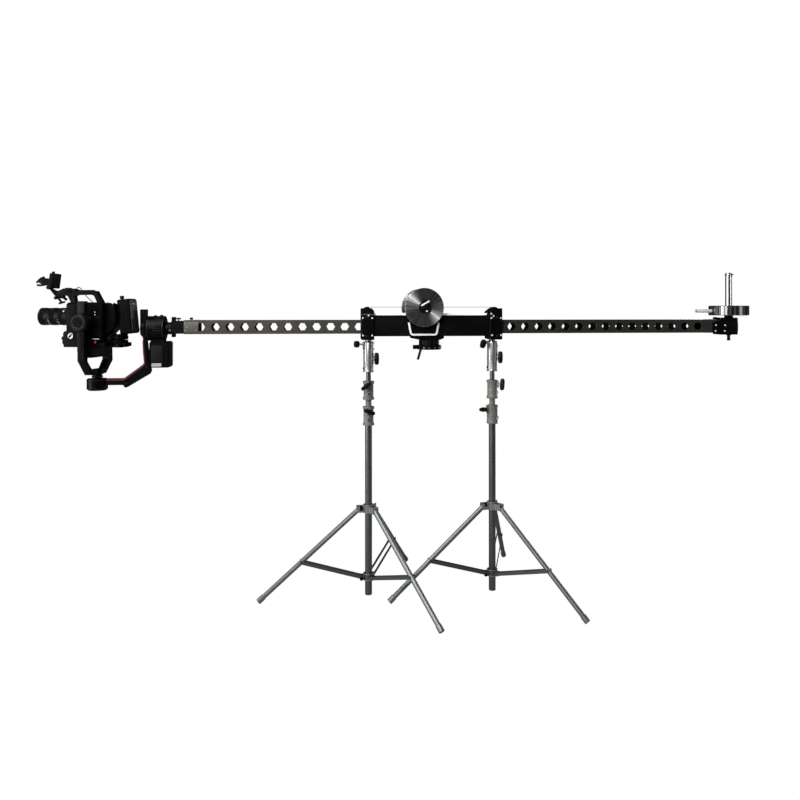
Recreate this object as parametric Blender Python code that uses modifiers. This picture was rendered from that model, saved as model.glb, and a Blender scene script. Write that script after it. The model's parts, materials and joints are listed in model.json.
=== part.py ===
# Telescopic camera arm on two stands, with its gimbal and camera.
# Metres, +Z up. The floor is Z = 0 and the arm runs along X.
# Construction frame: X = 0 halfway between the two stands, Y = 0 in the arm's middle plane.
# The object's own origin is the middle of its footprint, so one empty carries everything there.

import math

import bmesh
import bpy
from mathutils import Matrix, Vector

for old in list(bpy.data.objects):
    bpy.data.objects.remove(old, do_unlink=True)

# Clearances
gap = 0.0003
runGap = 0.0006

# Place of the footprint's middle in the construction frame
footprintX = -0.1255
footprintY = 0.030

# Arm tube
armLeft = -1.2139
armRight = 1.5114
armHeight = 0.068
armDepth = 0.086
armWall = 0.004
armZ = 1.355
holeCount = 37
holePitch = 0.070
holeFirst = -1.134
holeAcross = 0.043

# Sleeve and its end blocks
sleeveDepth = 0.112
sleeveHeight = 0.104
sleeveZ = 1.360
sleeveWall = 0.006
blockOuter = 0.3535
blockLength = 0.064
blockDepth = 0.130
blockBottom = 1.290
blockTop = 1.4476
blockBevel = 0.003
# Run and drop of the slope at each block's inner top corner
blockSlope = {"left": (0.0125, 0.0155), "right": (0.0215, 0.0166)}
windowClearance = 0.004
humpRadius = 0.0195

# Rollers and belt
rollerRadius = 0.012
rollerLength = 0.056
rollerGroove = 0.004
rollerGrooveWidth = 0.018
pulleyRadius = 0.0162
pulleyWidth = 0.012
pulleyZ = 1.4355
pulleyX = 0.3235
beltThickness = 0.0022
beltWidth = 0.010

# Trolley track on the sleeve
trackWidth = 0.090
trackHeight = 0.0105
trackBase = 0.003
trackWall = 0.012

# Counterweight trolley
trolleyX = -0.0441
axleZ = 1.4508
cheekInner = 0.0590
cheekThickness = 0.008
cheekBottom = 1.3118
cheekTop = 1.487
cheekWide = 0.0790
cheekNarrow = 0.0675
discRadius = 0.0965
discThickness = 0.031
stubRadius = 0.011
knobRadius = 0.030
knobLength = 0.016

# Head under the sleeve
headX = -0.0095
headPlateLeft = -0.102
headPlateRight = 0.0600
headPlateDepth = 0.098
headPlateThickness = 0.0105
headConeBottom = 1.2891
headNeckRadius = 0.0485
baseTop = 1.2888
baseNeckBottom = 1.2618
baseBottom = 1.2398
baseRadius = 0.0615
leverLength = 0.062
leverRadius = 0.0048
leverSlope = 16.0

# Stands
standX = 0.3153
columnRadius = 0.0177
columnBore = 0.0157
columnBottom = 0.013
columnTop = 0.945
collarZ = 0.444
collarHeight = 0.040
collarRadius = 0.0265
lowCollarZ = 0.1035
lowCollarHeight = 0.034
lowCollarRadius = 0.0255
legPivotRadius = 0.051
legPivotDrop = 0.004
legRadius = 0.0122
legFootRadius = 0.543
legFootHeight = 0.0100
footRadius = 0.0145
footLength = 0.034
leftAngles = (184.2, -55.8, 64.2)
rightAngles = (190.6, -49.4, 70.6)
braceShare = 0.575
stripThickness = 0.003
stripWidth = 0.016
stripOverrun = 0.008
bracePivotRadius = 0.036
bracePinRadius = 0.003
earThickness = 0.010
clampTop = columnTop + 0.010
clampBottom = clampTop - 0.094
clampRadius = 0.0245
clampFlange = 0.0285
clampFlangeHeight = 0.012
riserRadius = 0.0150
riserBore = 0.0131
riserBottom = 0.30
riserClampBottom = 0.9893
riserClampTop = 1.0822
topRiserRadius = 0.0125
topRiserBottom = 0.42
receiverBottom = 1.1276
receiverStep = 1.1791
receiverTop = 1.2895
receiverRadius = 0.0264
receiverNeckRadius = 0.0165
receiverNeckHeight = 0.009
receiverLowRadius = 0.0258
receiverLipRadius = 0.0280
receiverLipHeight = 0.005
receiverGroove = 0.0014
lugReach = 0.0335
lugThickness = 0.016
lugHeight = 0.034
knobShaft = 0.004
knobBarLength = 0.058
knobBarRadius = 0.0075
knobReach = 0.031
knobSeat = 0.0072
clampLugDrop = 0.021
# Direction of a clamp's knob round the column, and slope of its bar, in degrees
leftRiserKnob = (255.0, -60.0)
leftColumnKnob = (272.0, 70.0)
rightRiserKnob = (332.0, 15.0)
rightColumnKnob = (200.0, 85.0)
standFacets = 16
knobFacets = 10

# Nose of the arm and the gimbal's roll motor
noseLeft = -1.2746
noseBottom = 1.323
noseTop = 1.3855
noseDepth = 0.082
plugReach = 0.044
plugClearance = 0.0005
ringLeft = -1.2755
ringThickness = 0.012
ringHeight = 0.098
ringDepth = 0.044
neckRadius = 0.030
rollZ = 1.349
motorLeft = -1.3956
motorRight = -1.3059
motorRadius = 0.0600
motorRim = 0.012

# Gimbal arm, pan motor, fork and tilt motor
gimbalDepth = 0.040
gimbalTop = 1.4419
gimbalOuter = -1.4260
gimbalInner = -1.3965
shoulderZ = 1.290
waistX = -1.3860
waistZ = 1.200
bendX = -1.3770
bendZ = 1.133
heelX = -1.4900
heelZ = 1.0630
soleX = -1.4980
soleZ = 1.0610
barStartX = -1.5055
elbowX = -1.4060
elbowZ = 1.1740
throatX = -1.4130
throatZ = 1.3050
panX = -1.6320
panMotorRadius = 0.0485
panMotorBottom = 1.0495
panMotorTop = 1.1063
panBarLow = 1.0745
panBarHigh = 1.1027
panRest = -12.0
forkNeckRadius = 0.0225
forkBottom = 1.1290
forkInside = 1.1540
forkTop = 1.4100
nearPostTop = 1.4790
forkSlope = 0.060
nearSlope = 0.072
forkWidth = 0.034
nearOuter = -0.1440
nearInner = -0.1150
farInner = 0.0760
farOuter = 0.1040
tiltZ = 1.3794
tiltMotorRadius = 0.0425
tiltMotorFace = -0.1710
farHubRadius = 0.026
farHubFace = 0.1160
gimbalBatteryLeft = -1.3768
gimbalBatteryRight = -1.2830
gimbalBatteryBottom = 1.1593
gimbalBatteryTop = 1.2860
gimbalBatteryDepth = 0.090

# Camera, in the fork's own frame: it looks along -X
cradleNear = -0.1090
cradleFar = 0.0700
cradleSide = 0.008
cradleLength = 0.060
cradleBottom = 1.2130
cradleFloor = 0.049
plateFront = -0.140
plateBack = 0.150
plateWidth = 0.076
plateThickness = 0.022
bodyFront = -0.110
bodyBack = 0.076
bodyNear = -0.0900
bodyFar = 0.0520
bodyBottom = 1.2850
bodyTop = 1.4730
bodyBevel = 0.008
tailWidth = 0.084
tailBottom = 1.322
tailMiddle = 1.410
tailTop = 1.468
tailSteps = 7
lensY = -0.012
lensZ = 1.407
lensRadius = 0.0430
lensFront = -0.2770
handleY = -0.018
handleWidth = 0.026
handleTop = 1.5345
gripThickness = 0.024
monitorX = -0.2080
monitorY = -0.030
monitorWidth = 0.068
monitorLean = 8.0
monitorBackReach = 0.044
monitorBackWidth = 0.038
monitorHeight = 0.072
monitorThickness = 0.020
monitorZ = handleTop + 0.049
monitorPivotX = -0.236
monitorPivotZ = handleTop + 0.0135
pivotBarrel = 0.009
rearBatteryX = 0.1580
rearBatteryY = 0.0
rearBatteryZ = 1.4075
rearBatteryLength = 0.0646
rearBatteryWidth = 0.078
rearBatteryHeight = 0.167
rearBatteryLean = 6.0

# Tail of the arm
castingRight = 1.6065
castingTop = 1.3990
castingBottom = 1.3101
castingDepth = 0.084
weightX = 1.5777
weightRadius = 0.0985
weightThickness = 0.051
weightBottom = 1.4101
postRadius = 0.0168
postTop = 1.6335
spacerRadius = 0.0215
handleRodZ = 1.4333
handleRodRadius = 0.008
handleRodLeft = 1.3973
tailPinRadius = 0.0080
tailPinBottom = 1.2787

# Collections, materials and small builders
rig = bpy.data.collections.new("telescopic_camera_arm")
cutters = bpy.data.collections.new("cutters")
bpy.context.scene.collection.children.link(rig)
bpy.context.scene.collection.children.link(cutters)


def makeMaterial(name, colour, roughness, metallic):
    material = bpy.data.materials.new(name)
    material.use_nodes = True
    shader = material.node_tree.nodes["Principled BSDF"]
    shader.inputs["Base Color"].default_value = (*colour, 1.0)
    shader.inputs["Roughness"].default_value = roughness
    shader.inputs["Metallic"].default_value = metallic
    return material


blackCoat = makeMaterial("black_coated_aluminium", (0.008, 0.008, 0.009), 0.30, 0.0)
armCoat = makeMaterial("dark_anodised_aluminium", (0.035, 0.036, 0.038), 0.38, 0.6)
standSteel = makeMaterial("satin_chromed_steel", (0.42, 0.43, 0.44), 0.32, 1.0)
weightSteel = makeMaterial("turned_steel", (0.62, 0.63, 0.64), 0.18, 1.0)
castGrey = makeMaterial("grey_casting", (0.30, 0.30, 0.31), 0.45, 0.8)
knobBlack = makeMaterial("black_moulded_plastic", (0.012, 0.012, 0.012), 0.5, 0.0)
beltRubber = makeMaterial("black_belt_rubber", (0.06, 0.06, 0.06), 0.7, 0.0)
trackMetal = makeMaterial("bright_track_aluminium", (0.75, 0.76, 0.77), 0.3, 1.0)
gimbalBlack = makeMaterial("gimbal_black_magnesium", (0.010, 0.010, 0.011), 0.35, 0.0)
cameraBlack = makeMaterial("camera_black_paint", (0.012, 0.012, 0.012), 0.45, 0.0)
lensBlack = makeMaterial("lens_black_anodised", (0.015, 0.015, 0.015), 0.35, 0.0)


origin = bpy.data.objects.new("footprint_middle", None)
rig.objects.link(origin)
origin.location = (-footprintX, -footprintY, 0.0)


def frameAt(name, location, parent=None, turn=0.0):
    """An empty that carries pieces; a joint's axis goes through it."""
    empty = bpy.data.objects.new(name, None)
    rig.objects.link(empty)
    empty.location = location
    empty.rotation_euler = (0.0, 0.0, math.radians(turn))
    empty.parent = parent or origin
    return empty


axisTurn = {"X": (0.0, math.pi / 2, 0.0), "Y": (-math.pi / 2, 0.0, 0.0), "Z": (0.0, 0.0, 0.0)}


def addObject(name, mesh, material, parent, location, turn=(0.0, 0.0, 0.0)):
    thing = bpy.data.objects.new(name, mesh)
    rig.objects.link(thing)
    thing.parent = parent
    thing.location = location
    thing.rotation_euler = turn
    if material:
        mesh.materials.append(material)
    return thing


def roundShade(mesh, angle=35.0):
    mesh.shade_smooth()
    mesh.set_sharp_from_angle(angle=math.radians(angle))


def box(name, low, high, material=None, parent=None, about=(0.0, 0.0, 0.0), bevel=0.0):
    """A block from one corner to the other, its origin at the point about."""
    middle = (Vector(low) + Vector(high)) / 2
    mesh = bpy.data.meshes.new(name)
    shape = bmesh.new()
    bmesh.ops.create_cube(shape, size=1.0)
    bmesh.ops.scale(shape, vec=Vector(high) - Vector(low), verts=shape.verts)
    bmesh.ops.translate(shape, vec=middle - Vector(about), verts=shape.verts)
    shape.to_mesh(mesh)
    shape.free()
    thing = addObject(name, mesh, material, parent or origin, about)
    if bevel:
        rounding = thing.modifiers.new("edges", "BEVEL")
        rounding.width = bevel
        rounding.segments = 1
    return thing


def rod(name, radius, start, end, axis, place=(0.0, 0.0, 0.0), material=None, parent=None, sides=16):
    """A straight round bar from start to end along an axis through the point place."""
    mesh = bpy.data.meshes.new(name)
    shape = bmesh.new()
    bmesh.ops.create_cone(shape, cap_ends=True, segments=sides, radius1=radius, radius2=radius,
                          depth=abs(end - start))
    bmesh.ops.translate(shape, vec=(0.0, 0.0, (start + end) / 2), verts=shape.verts)
    shape.to_mesh(mesh)
    shape.free()
    roundShade(mesh)
    return addObject(name, mesh, material, parent or origin, place, axisTurn[axis])


def turned(name, profile, axis="Z", place=(0.0, 0.0, 0.0), material=None, parent=None, steps=24,
           ring=False):
    """A profile of (radius, height) points, top to bottom on its outer side, turned about an axis."""
    mesh = bpy.data.meshes.new(name)
    shape = bmesh.new()
    points = [shape.verts.new((radius, 0.0, height)) for radius, height in profile]
    for first, second in zip(points, points[1:]):
        shape.edges.new((first, second))
    if ring:
        shape.edges.new((points[-1], points[0]))
    shape.to_mesh(mesh)
    shape.free()
    thing = addObject(name, mesh, material, parent or origin, place, axisTurn[axis])
    screw = thing.modifiers.new("turn", "SCREW")
    screw.steps = steps
    screw.render_steps = steps
    screw.use_merge_vertices = True
    screw.merge_threshold = 0.00005
    screw.use_smooth_shade = True
    return thing


def outlinePiece(name, loops, thickness, plane, middle, material=None, parent=None, about=(0.0, 0.0, 0.0)):
    """A flat outline, with any holes as further loops, given thickness across its plane."""
    curve = bpy.data.curves.new(name, "CURVE")
    curve.dimensions = "2D"
    curve.fill_mode = "BOTH"
    curve.extrude = thickness / 2
    shift = {"XZ": (about[0], about[2]), "YZ": (about[1], about[2]), "XY": (about[0], about[1])}[plane]
    for loop in loops:
        spline = curve.splines.new("POLY")
        spline.points.add(len(loop) - 1)
        for point, (across, up) in zip(spline.points, loop):
            point.co = (across - shift[0], up - shift[1], 0.0, 1.0)
        spline.use_cyclic_u = True
    guide = bpy.data.objects.new(name + "_outline", curve)
    cutters.objects.link(guide)
    mesh = bpy.data.meshes.new_from_object(guide.evaluated_get(bpy.context.evaluated_depsgraph_get()))
    bpy.data.objects.remove(guide, do_unlink=True)
    shape = bmesh.new()
    shape.from_mesh(mesh)
    bmesh.ops.remove_doubles(shape, verts=shape.verts, dist=0.00001)
    turn = {"XZ": Matrix.Rotation(math.pi / 2, 4, "X"),
            "YZ": Matrix.Rotation(math.pi / 2, 4, "Z") @ Matrix.Rotation(math.pi / 2, 4, "X"),
            "XY": Matrix.Identity(4)}[plane]
    bmesh.ops.transform(shape, matrix=turn, verts=shape.verts)
    across = {"XZ": Vector((0, 1, 0)), "YZ": Vector((1, 0, 0)), "XY": Vector((0, 0, 1))}[plane]
    lift = middle - across.dot(Vector(about))
    bmesh.ops.translate(shape, vec=across * lift, verts=shape.verts)
    bmesh.ops.recalc_face_normals(shape, faces=shape.faces)
    shape.to_mesh(mesh)
    shape.free()
    mesh.name = name
    mesh.materials.clear()
    return addObject(name, mesh, material, parent or origin, about)


def useTool(target, tool, operation):
    """Cut a tool out of a piece, or fuse it on; the tool itself isn't part of the object."""
    rig.objects.unlink(tool)
    cutters.objects.link(tool)
    tool.hide_render = True
    tool.display_type = "WIRE"
    step = target.modifiers.new(tool.name, "BOOLEAN")
    step.operation = operation
    step.solver = "EXACT"
    step.object = tool


def cut(target, *tools):
    for tool in tools:
        useTool(target, tool, "DIFFERENCE")


def fuse(target, *tools):
    for tool in tools:
        useTool(target, tool, "UNION")


def circlePoints(radius, count, first=0.0, last=360.0, middle=(0.0, 0.0)):
    """Points along an arc, its last point left out on a full circle."""
    full = abs(last - first) >= 360.0
    steps = count if full else count - 1
    angles = [math.radians(first + (last - first) * i / steps) for i in range(count)]
    return [(middle[0] + radius * math.cos(a), middle[1] + radius * math.sin(a)) for a in angles]

# Arm: a square tube with a row of hexagonal holes through both its sides
armFrame = frameAt("arm_slide", (0.0, 0.0, armZ))
halfArm = armHeight / 2
halfBore = halfArm - armWall
halfArmDepth = armDepth / 2
halfBoreDepth = halfArmDepth - armWall


def buildArm():
    tube = box("arm_tube", (armLeft, -halfArmDepth, -halfArm), (armRight, halfArmDepth, halfArm),
               armCoat, armFrame)
    bore = box("arm_bore", (armLeft - 0.01, -halfBoreDepth, -halfBore),
               (armRight + 0.01, halfBoreDepth, halfBore), parent=armFrame)
    mesh = bpy.data.meshes.new("hexagon_row")
    row = bmesh.new()
    for number in range(holeCount):
        place = Matrix.Translation((holeFirst + number * holePitch, 0.0, 0.0))
        # Corners point along the arm
        place = place @ Matrix.Rotation(math.pi / 2, 4, "X") @ Matrix.Rotation(math.pi / 6, 4, "Z")
        bmesh.ops.create_cone(row, cap_ends=True, segments=6, radius1=holeAcross / 2, radius2=holeAcross / 2,
                              depth=2 * armDepth, matrix=place)
    row.to_mesh(mesh)
    row.free()
    cut(tube, bore, addObject("hexagon_row", mesh, None, armFrame, (0.0, 0.0, 0.0)))


def buildNose():
    halfNose = noseDepth / 2
    halfPlug = halfBore - plugClearance
    halfPlugDepth = halfBoreDepth - plugClearance
    nose = box("nose_adapter", (noseLeft, -halfNose, noseBottom - armZ),
               (armLeft - gap, halfNose, noseTop - armZ), blackCoat, armFrame, bevel=0.003)
    halfRing = ringHeight / 2
    ring = box("nose_ring", (ringLeft, -ringDepth / 2, -halfRing),
               (ringLeft + ringThickness, ringDepth / 2, halfRing), parent=armFrame)
    plug = box("nose_plug", (armLeft - 0.004, -halfPlugDepth, -halfPlug),
               (armLeft + plugReach, halfPlugDepth, halfPlug), parent=armFrame)
    neck = rod("nose_neck", neckRadius, motorRight + gap, noseLeft + 0.004, "X", (0.0, 0.0, rollZ - armZ),
               parent=armFrame, sides=24)
    fuse(nose, plug, ring, neck)


def buildRollMotor():
    length = motorRight - motorLeft
    profile = [(0.0, length / 2), (motorRadius - motorRim, length / 2), (motorRadius, length / 2 - motorRim),
               (motorRadius, -length / 2 + motorRim / 2), (motorRadius - motorRim / 2, -length / 2),
               (0.0, -length / 2)]
    turned("roll_motor", profile, "X", ((motorLeft + motorRight) / 2, 0.0, rollZ - armZ), gimbalBlack,
           armFrame)


def buildGimbalBattery():
    halfDepth = gimbalBatteryDepth / 2
    battery = box("gimbal_battery", (gimbalBatteryLeft, -halfDepth, gimbalBatteryBottom - armZ),
                  (gimbalBatteryRight, halfDepth, gimbalBatteryTop - armZ), gimbalBlack, armFrame,
                  bevel=0.006)
    # The battery's mount reaches up round the motor's underside
    block = box("battery_mount", (motorLeft + 0.022, -0.030, gimbalBatteryTop - armZ - 0.01),
                (motorRight - 0.006, 0.030, rollZ - armZ - 0.035), parent=armFrame)
    fuse(battery, block)
    cut(battery, rod("motor_seat", motorRadius + gap, motorLeft - 0.01, motorRight + 0.01, "X",
                     (0.0, 0.0, rollZ - armZ), parent=armFrame, sides=24))


def buildTail():
    halfCasting = castingDepth / 2
    halfPlug = halfBore - plugClearance
    halfPlugDepth = halfBoreDepth - plugClearance
    casting = box("tail_casting", (armRight + gap, -halfCasting, castingBottom - armZ),
                  (castingRight, halfCasting, castingTop - armZ), blackCoat, armFrame, bevel=0.004)
    plug = box("tail_plug", (armRight - plugReach, -halfPlugDepth, -halfPlug),
               (armRight + 0.006, halfPlugDepth, halfPlug), parent=armFrame)
    pin = rod("tail_pin", tailPinRadius, tailPinBottom - armZ, castingBottom - armZ + 0.004, "Z",
              (weightX, 0.0, 0.0), parent=armFrame)
    spacer = rod("tail_spacer", spacerRadius, castingTop - armZ - 0.004, weightBottom - armZ - gap, "Z",
                 (weightX, 0.0, 0.0), parent=armFrame, sides=24)
    fuse(casting, plug, pin, spacer)
    cut(casting, rod("post_socket", postRadius + gap, castingTop - armZ - 0.03, castingTop - armZ + 0.05, "Z",
                     (weightX, 0.0, 0.0), parent=armFrame, sides=24))
    profile = [(0.0, postTop - armZ), (postRadius - 0.002, postTop - armZ),
               (postRadius, postTop - armZ - 0.002), (postRadius, castingTop - armZ - 0.03 + gap),
               (0.0, castingTop - armZ - 0.03 + gap)]
    turned("weight_post", profile, "Z", (weightX, 0.0, 0.0), weightSteel, armFrame)
    lift = frameAt("end_weight_lift", (weightX, 0.0, weightBottom - armZ), armFrame)
    chamfer = 0.003
    bore = postRadius + runGap
    profile = [(bore, weightThickness), (weightRadius - chamfer, weightThickness),
               (weightRadius, weightThickness - chamfer), (weightRadius, chamfer),
               (weightRadius - chamfer, 0.0), (bore, 0.0)]
    weight = turned("end_weight", profile, "Z", material=weightSteel, parent=lift, steps=32, ring=True)
    handle = rod("end_weight_handle", handleRodRadius, handleRodLeft - weightX, -weightRadius + 0.01, "X",
                 (0.0, 0.0, handleRodZ - weightBottom), parent=lift)
    fuse(weight, handle)


buildArm()
buildNose()
buildRollMotor()
buildGimbalBattery()
buildTail()

# Sleeve: the outer tube that the arm slides through, and an end block at each end
sleeveEnd = blockOuter - blockLength + 0.012
armTop = armZ + halfArm
armBottom = armZ - halfArm
rollerX = blockOuter - 0.026
topRollerZ = armTop + gap + rollerRadius
lowRollerZ = armBottom - gap - rollerRadius
beltRadius = pulleyRadius + gap


def buildSleeve():
    halfDepth = sleeveDepth / 2
    halfHeight = sleeveHeight / 2
    tube = box("sleeve_tube", (-sleeveEnd + gap, -halfDepth, sleeveZ - halfHeight),
               (sleeveEnd - gap, halfDepth, sleeveZ + halfHeight), blackCoat, bevel=0.004)
    inside = sleeveWall
    cut(tube, box("sleeve_bore", (-sleeveEnd - 0.01, -halfDepth + inside, sleeveZ - halfHeight + inside),
                  (sleeveEnd + 0.01, halfDepth - inside, sleeveZ + halfHeight - inside)))
    halfTrack = trackWidth / 2
    floor = sleeveZ + halfHeight + gap
    outline = [(-halfTrack, floor), (halfTrack, floor), (halfTrack, floor + trackHeight),
               (halfTrack - trackWall, floor + trackHeight), (halfTrack - trackWall, floor + trackBase),
               (trackWall - halfTrack, floor + trackBase), (trackWall - halfTrack, floor + trackHeight),
               (-halfTrack, floor + trackHeight)]
    trackLength = 2 * (blockOuter - blockLength - gap)
    outlinePiece("trolley_track", [outline], trackLength, "YZ", 0.0, trackMetal)


def buildEndBlock(side, sign):
    inner = blockOuter - blockLength
    halfDepth = blockDepth / 2
    block = box(side + "_end_block", (min(sign * inner, sign * blockOuter), -halfDepth, blockBottom),
                (max(sign * inner, sign * blockOuter), halfDepth, blockTop), blackCoat, bevel=blockBevel)
    run, drop = blockSlope[side]
    slope = [(sign * (inner - run), blockTop - 2 * drop), (sign * (inner + 2 * run), blockTop + drop),
             (sign * (inner - run), blockTop + drop)]
    cut(block, outlinePiece(side + "_slope", [slope], 2 * blockDepth, "XZ", 0.0))
    hump = rod(side + "_hump", humpRadius, -0.022, 0.022, "Y", (sign * pulleyX, 0.0, pulleyZ), sides=24)
    fuse(block, hump)
    window = halfArm + windowClearance
    windowDepth = halfArmDepth + windowClearance
    socketDepth = sleeveDepth / 2 + gap
    socketHeight = sleeveHeight / 2 + gap
    cut(block,
        box(side + "_window", (sign * blockOuter - blockLength * 1.2, -windowDepth, armZ - window),
            (sign * blockOuter + blockLength * 1.2, windowDepth, armZ + window)),
        box(side + "_sleeve_socket",
            (min(sign * (inner - 0.01), sign * sleeveEnd), -socketDepth, sleeveZ - socketHeight),
            (max(sign * (inner - 0.01), sign * sleeveEnd), socketDepth, sleeveZ + socketHeight)))
    pocket = rollerRadius + 0.0025
    halfRoller = rollerLength / 2 + 0.001
    for name, height in (("top", topRollerZ), ("low", lowRollerZ)):
        low = min(height - pocket, armTop - 0.001) if name == "top" else height - rollerRadius - 0.002
        high = height + rollerRadius + 0.002 if name == "top" else armBottom + 0.001
        cut(block,
            box(f"{side}_{name}_pocket", (sign * rollerX - pocket, -halfRoller, low),
                (sign * rollerX + pocket, halfRoller, high)),
            rod(f"{side}_{name}_axle_hole", 0.0046, -halfRoller - 0.008, halfRoller + 0.008, "Y",
                (sign * rollerX, 0.0, height), sides=12))
    slotEnd = pulleyX + beltRadius + beltThickness + 0.0018
    slotLow = pulleyZ - beltRadius - beltThickness - 0.0008
    cut(block,
        box(side + "_belt_slot", (min(sign * (inner - 0.01), sign * slotEnd), -0.0085, slotLow),
            (max(sign * (inner - 0.01), sign * slotEnd), 0.0085, blockTop + 0.05)),
        rod(side + "_pulley_hole", 0.0046, -0.0205, 0.0205, "Y", (sign * pulleyX, 0.0, pulleyZ), sides=12))


def buildRoller(side, sign, name, height, grooved):
    place = frameAt(f"{side}_{name}_roller_axis", (sign * rollerX, 0.0, height))
    half = rollerLength / 2
    end = half + 0.0065
    axle = 0.0040
    groove = rollerGrooveWidth / 2
    floor = rollerRadius - rollerGroove
    profile = [(0.0, end), (axle, end), (axle, half), (rollerRadius - 0.001, half),
               (rollerRadius, half - 0.001)]
    if grooved:
        profile += [(rollerRadius, groove), (floor, groove), (floor, -groove), (rollerRadius, -groove)]
    profile += [(rollerRadius, 0.001 - half), (rollerRadius - 0.001, -half), (axle, -half), (axle, -end),
                (0.0, -end)]
    turned(f"{side}_{name}_roller", profile, "Y", material=standSteel, parent=place, steps=14)


def buildPulley(side, sign):
    place = frameAt(side + "_pulley_axis", (sign * pulleyX, 0.0, pulleyZ))
    half = pulleyWidth / 2
    axle = 0.0040
    profile = [(0.0, 0.0195), (axle, 0.0195), (axle, half), (pulleyRadius, half), (pulleyRadius, -half),
               (axle, -half), (axle, -0.0195), (0.0, -0.0195)]
    turned(side + "_belt_pulley", profile, "Y", material=castGrey, parent=place, steps=16)


def beltLoop(radius):
    right = circlePoints(radius, 13, -90.0, 90.0, (pulleyX, pulleyZ))
    left = circlePoints(radius, 13, 90.0, 270.0, (-pulleyX, pulleyZ))
    return right + left


buildSleeve()
for sideName, sideSign in (("left", -1.0), ("right", 1.0)):
    buildEndBlock(sideName, sideSign)
    buildRoller(sideName, sideSign, "top", topRollerZ, True)
    buildRoller(sideName, sideSign, "low", lowRollerZ, False)
    buildPulley(sideName, sideSign)
outlinePiece("drive_belt", [beltLoop(beltRadius + beltThickness), beltLoop(beltRadius)],
             beltWidth, "XZ", 0.0, beltRubber)

# Counterweight trolley: it rides on the track, opposite to the arm
trolley = frameAt("trolley_slide", (trolleyX, 0.0, axleZ))


def buildTrolley():
    low = cheekBottom - axleZ
    high = cheekTop - axleZ
    shoulder = 1.384 - axleZ
    corner = 0.012
    outline = [(-cheekNarrow, low + corner)]
    outline += circlePoints(corner, 5, 180.0, 270.0, (-cheekNarrow + corner, low + corner))[1:]
    outline += circlePoints(corner, 5, 270.0, 360.0, (cheekNarrow - corner, low + corner))
    outline += [(cheekWide, shoulder), (0.034, high - 0.012), (0.024, high), (-0.024, high),
                (-0.034, high - 0.012), (-cheekWide, shoulder)]
    middle = cheekInner + cheekThickness / 2
    frame = outlinePiece("trolley_frame", [outline], cheekThickness, "XZ", -middle, blackCoat, trolley)
    back = outlinePiece("trolley_back_cheek", [outline], cheekThickness, "XZ", middle, None, trolley)
    bridge = box("trolley_bridge", (-0.045, -cheekInner - 0.002, 1.4245 - axleZ),
                 (0.045, cheekInner + 0.002, 1.4475 - axleZ), parent=trolley)
    outer = cheekInner + cheekThickness
    stubEnd = outer + gap + discThickness - 0.0006
    fuse(frame, bridge, back)
    fuse(frame, rod("front_stub", stubRadius, -stubEnd, -outer + 0.003, "Y", parent=trolley, sides=20),
         rod("back_stub", stubRadius, outer - 0.003, stubEnd, "Y", parent=trolley, sides=20))
    chamfer = 0.003
    bore = stubRadius + gap
    for name, sign in (("front", -1.0), ("back", 1.0)):
        profile = [(bore, discThickness / 2), (discRadius - chamfer, discThickness / 2),
                   (discRadius, discThickness / 2 - chamfer), (discRadius, chamfer - discThickness / 2),
                   (discRadius - chamfer, -discThickness / 2), (bore, -discThickness / 2)]
        turned(f"{name}_side_weight", profile, "Y", (0.0, sign * (outer + gap + discThickness / 2), 0.0),
               weightSteel, trolley, steps=32, ring=True)
    face = outer + gap + discThickness + gap
    knobFrame = frameAt("axle_knob_turn", (0.0, -face, 0.0), trolley)
    profile = [(0.0, 0.0), (knobRadius, 0.0), (knobRadius, -knobLength + 0.003),
               (knobRadius - 0.003, -knobLength), (0.0, -knobLength)]
    knob = turned("axle_knob", profile, "Y", material=knobBlack, parent=knobFrame)
    fuse(knob, rod("axle_knob_bar", 0.004, 0.0, 0.036, "Z", (0.0, -knobLength + 0.007, 0.0), parent=knobFrame,
                   sides=12))


buildTrolley()

# Head under the sleeve: a fixed plate and a turning base
headFrame = frameAt("head_turn", (headX, 0.0, baseTop))


def buildHead():
    top = sleeveZ - sleeveHeight / 2 - gap
    step = top - headPlateThickness
    outline = [(headPlateLeft, top), (headPlateLeft, step), (headX - headNeckRadius, headConeBottom),
               (headX + headNeckRadius, headConeBottom), (headPlateRight, step), (headPlateRight, top)]
    outlinePiece("head_plate", [outline], headPlateDepth, "XZ", 0.0, blackCoat)
    neck = baseNeckBottom - baseTop
    low = baseBottom - baseTop
    profile = [(0.0, -gap), (headNeckRadius, -gap), (headNeckRadius, neck), (baseRadius, neck),
               (baseRadius, low + 0.004), (baseRadius - 0.004, low), (0.0, low)]
    base = turned("head_base", profile, "Z", material=blackCoat, parent=headFrame, steps=32)
    lugLeft = -0.0810
    fuse(base, box("base_lug", (lugLeft, -0.012, low + 0.002), (-0.050, 0.012, neck), parent=headFrame))
    # The clamp lever turns on a boss at the front of the flange
    leverX = -0.0450
    bossFace = -0.0520
    fuse(base, rod("lever_boss", 0.0065, bossFace, -0.030, "Y", (leverX, 0.0, low + 0.011), parent=headFrame,
                   sides=12))
    pivot = frameAt("clamp_lever_turn", (leverX, bossFace - gap, low + 0.011), headFrame)
    hub = rod("clamp_lever", 0.0080, -0.011, 0.0, "Y", material=knobBlack, parent=pivot, sides=14)
    bar = rod("clamp_lever_bar", leverRadius, -leverLength, 0.0, "Z", (0.0, -0.0055, 0.0), parent=pivot,
              sides=10)
    bar.rotation_euler = (0.0, math.radians(leverSlope), 0.0)
    fuse(hub, bar)


buildHead()

# Stands: telescopic columns on three braced legs. A stand's pieces hang from its receiver,
# which is pinned in the end block, down to the legs.
legPivotZ = collarZ - legPivotDrop


def legDirection():
    """The leg's unit direction outward and down, in the plane of the leg."""
    out = legFootRadius - legPivotRadius
    down = legPivotZ - legFootHeight
    length = math.hypot(out, down)
    return out / length, -down / length, length


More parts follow.
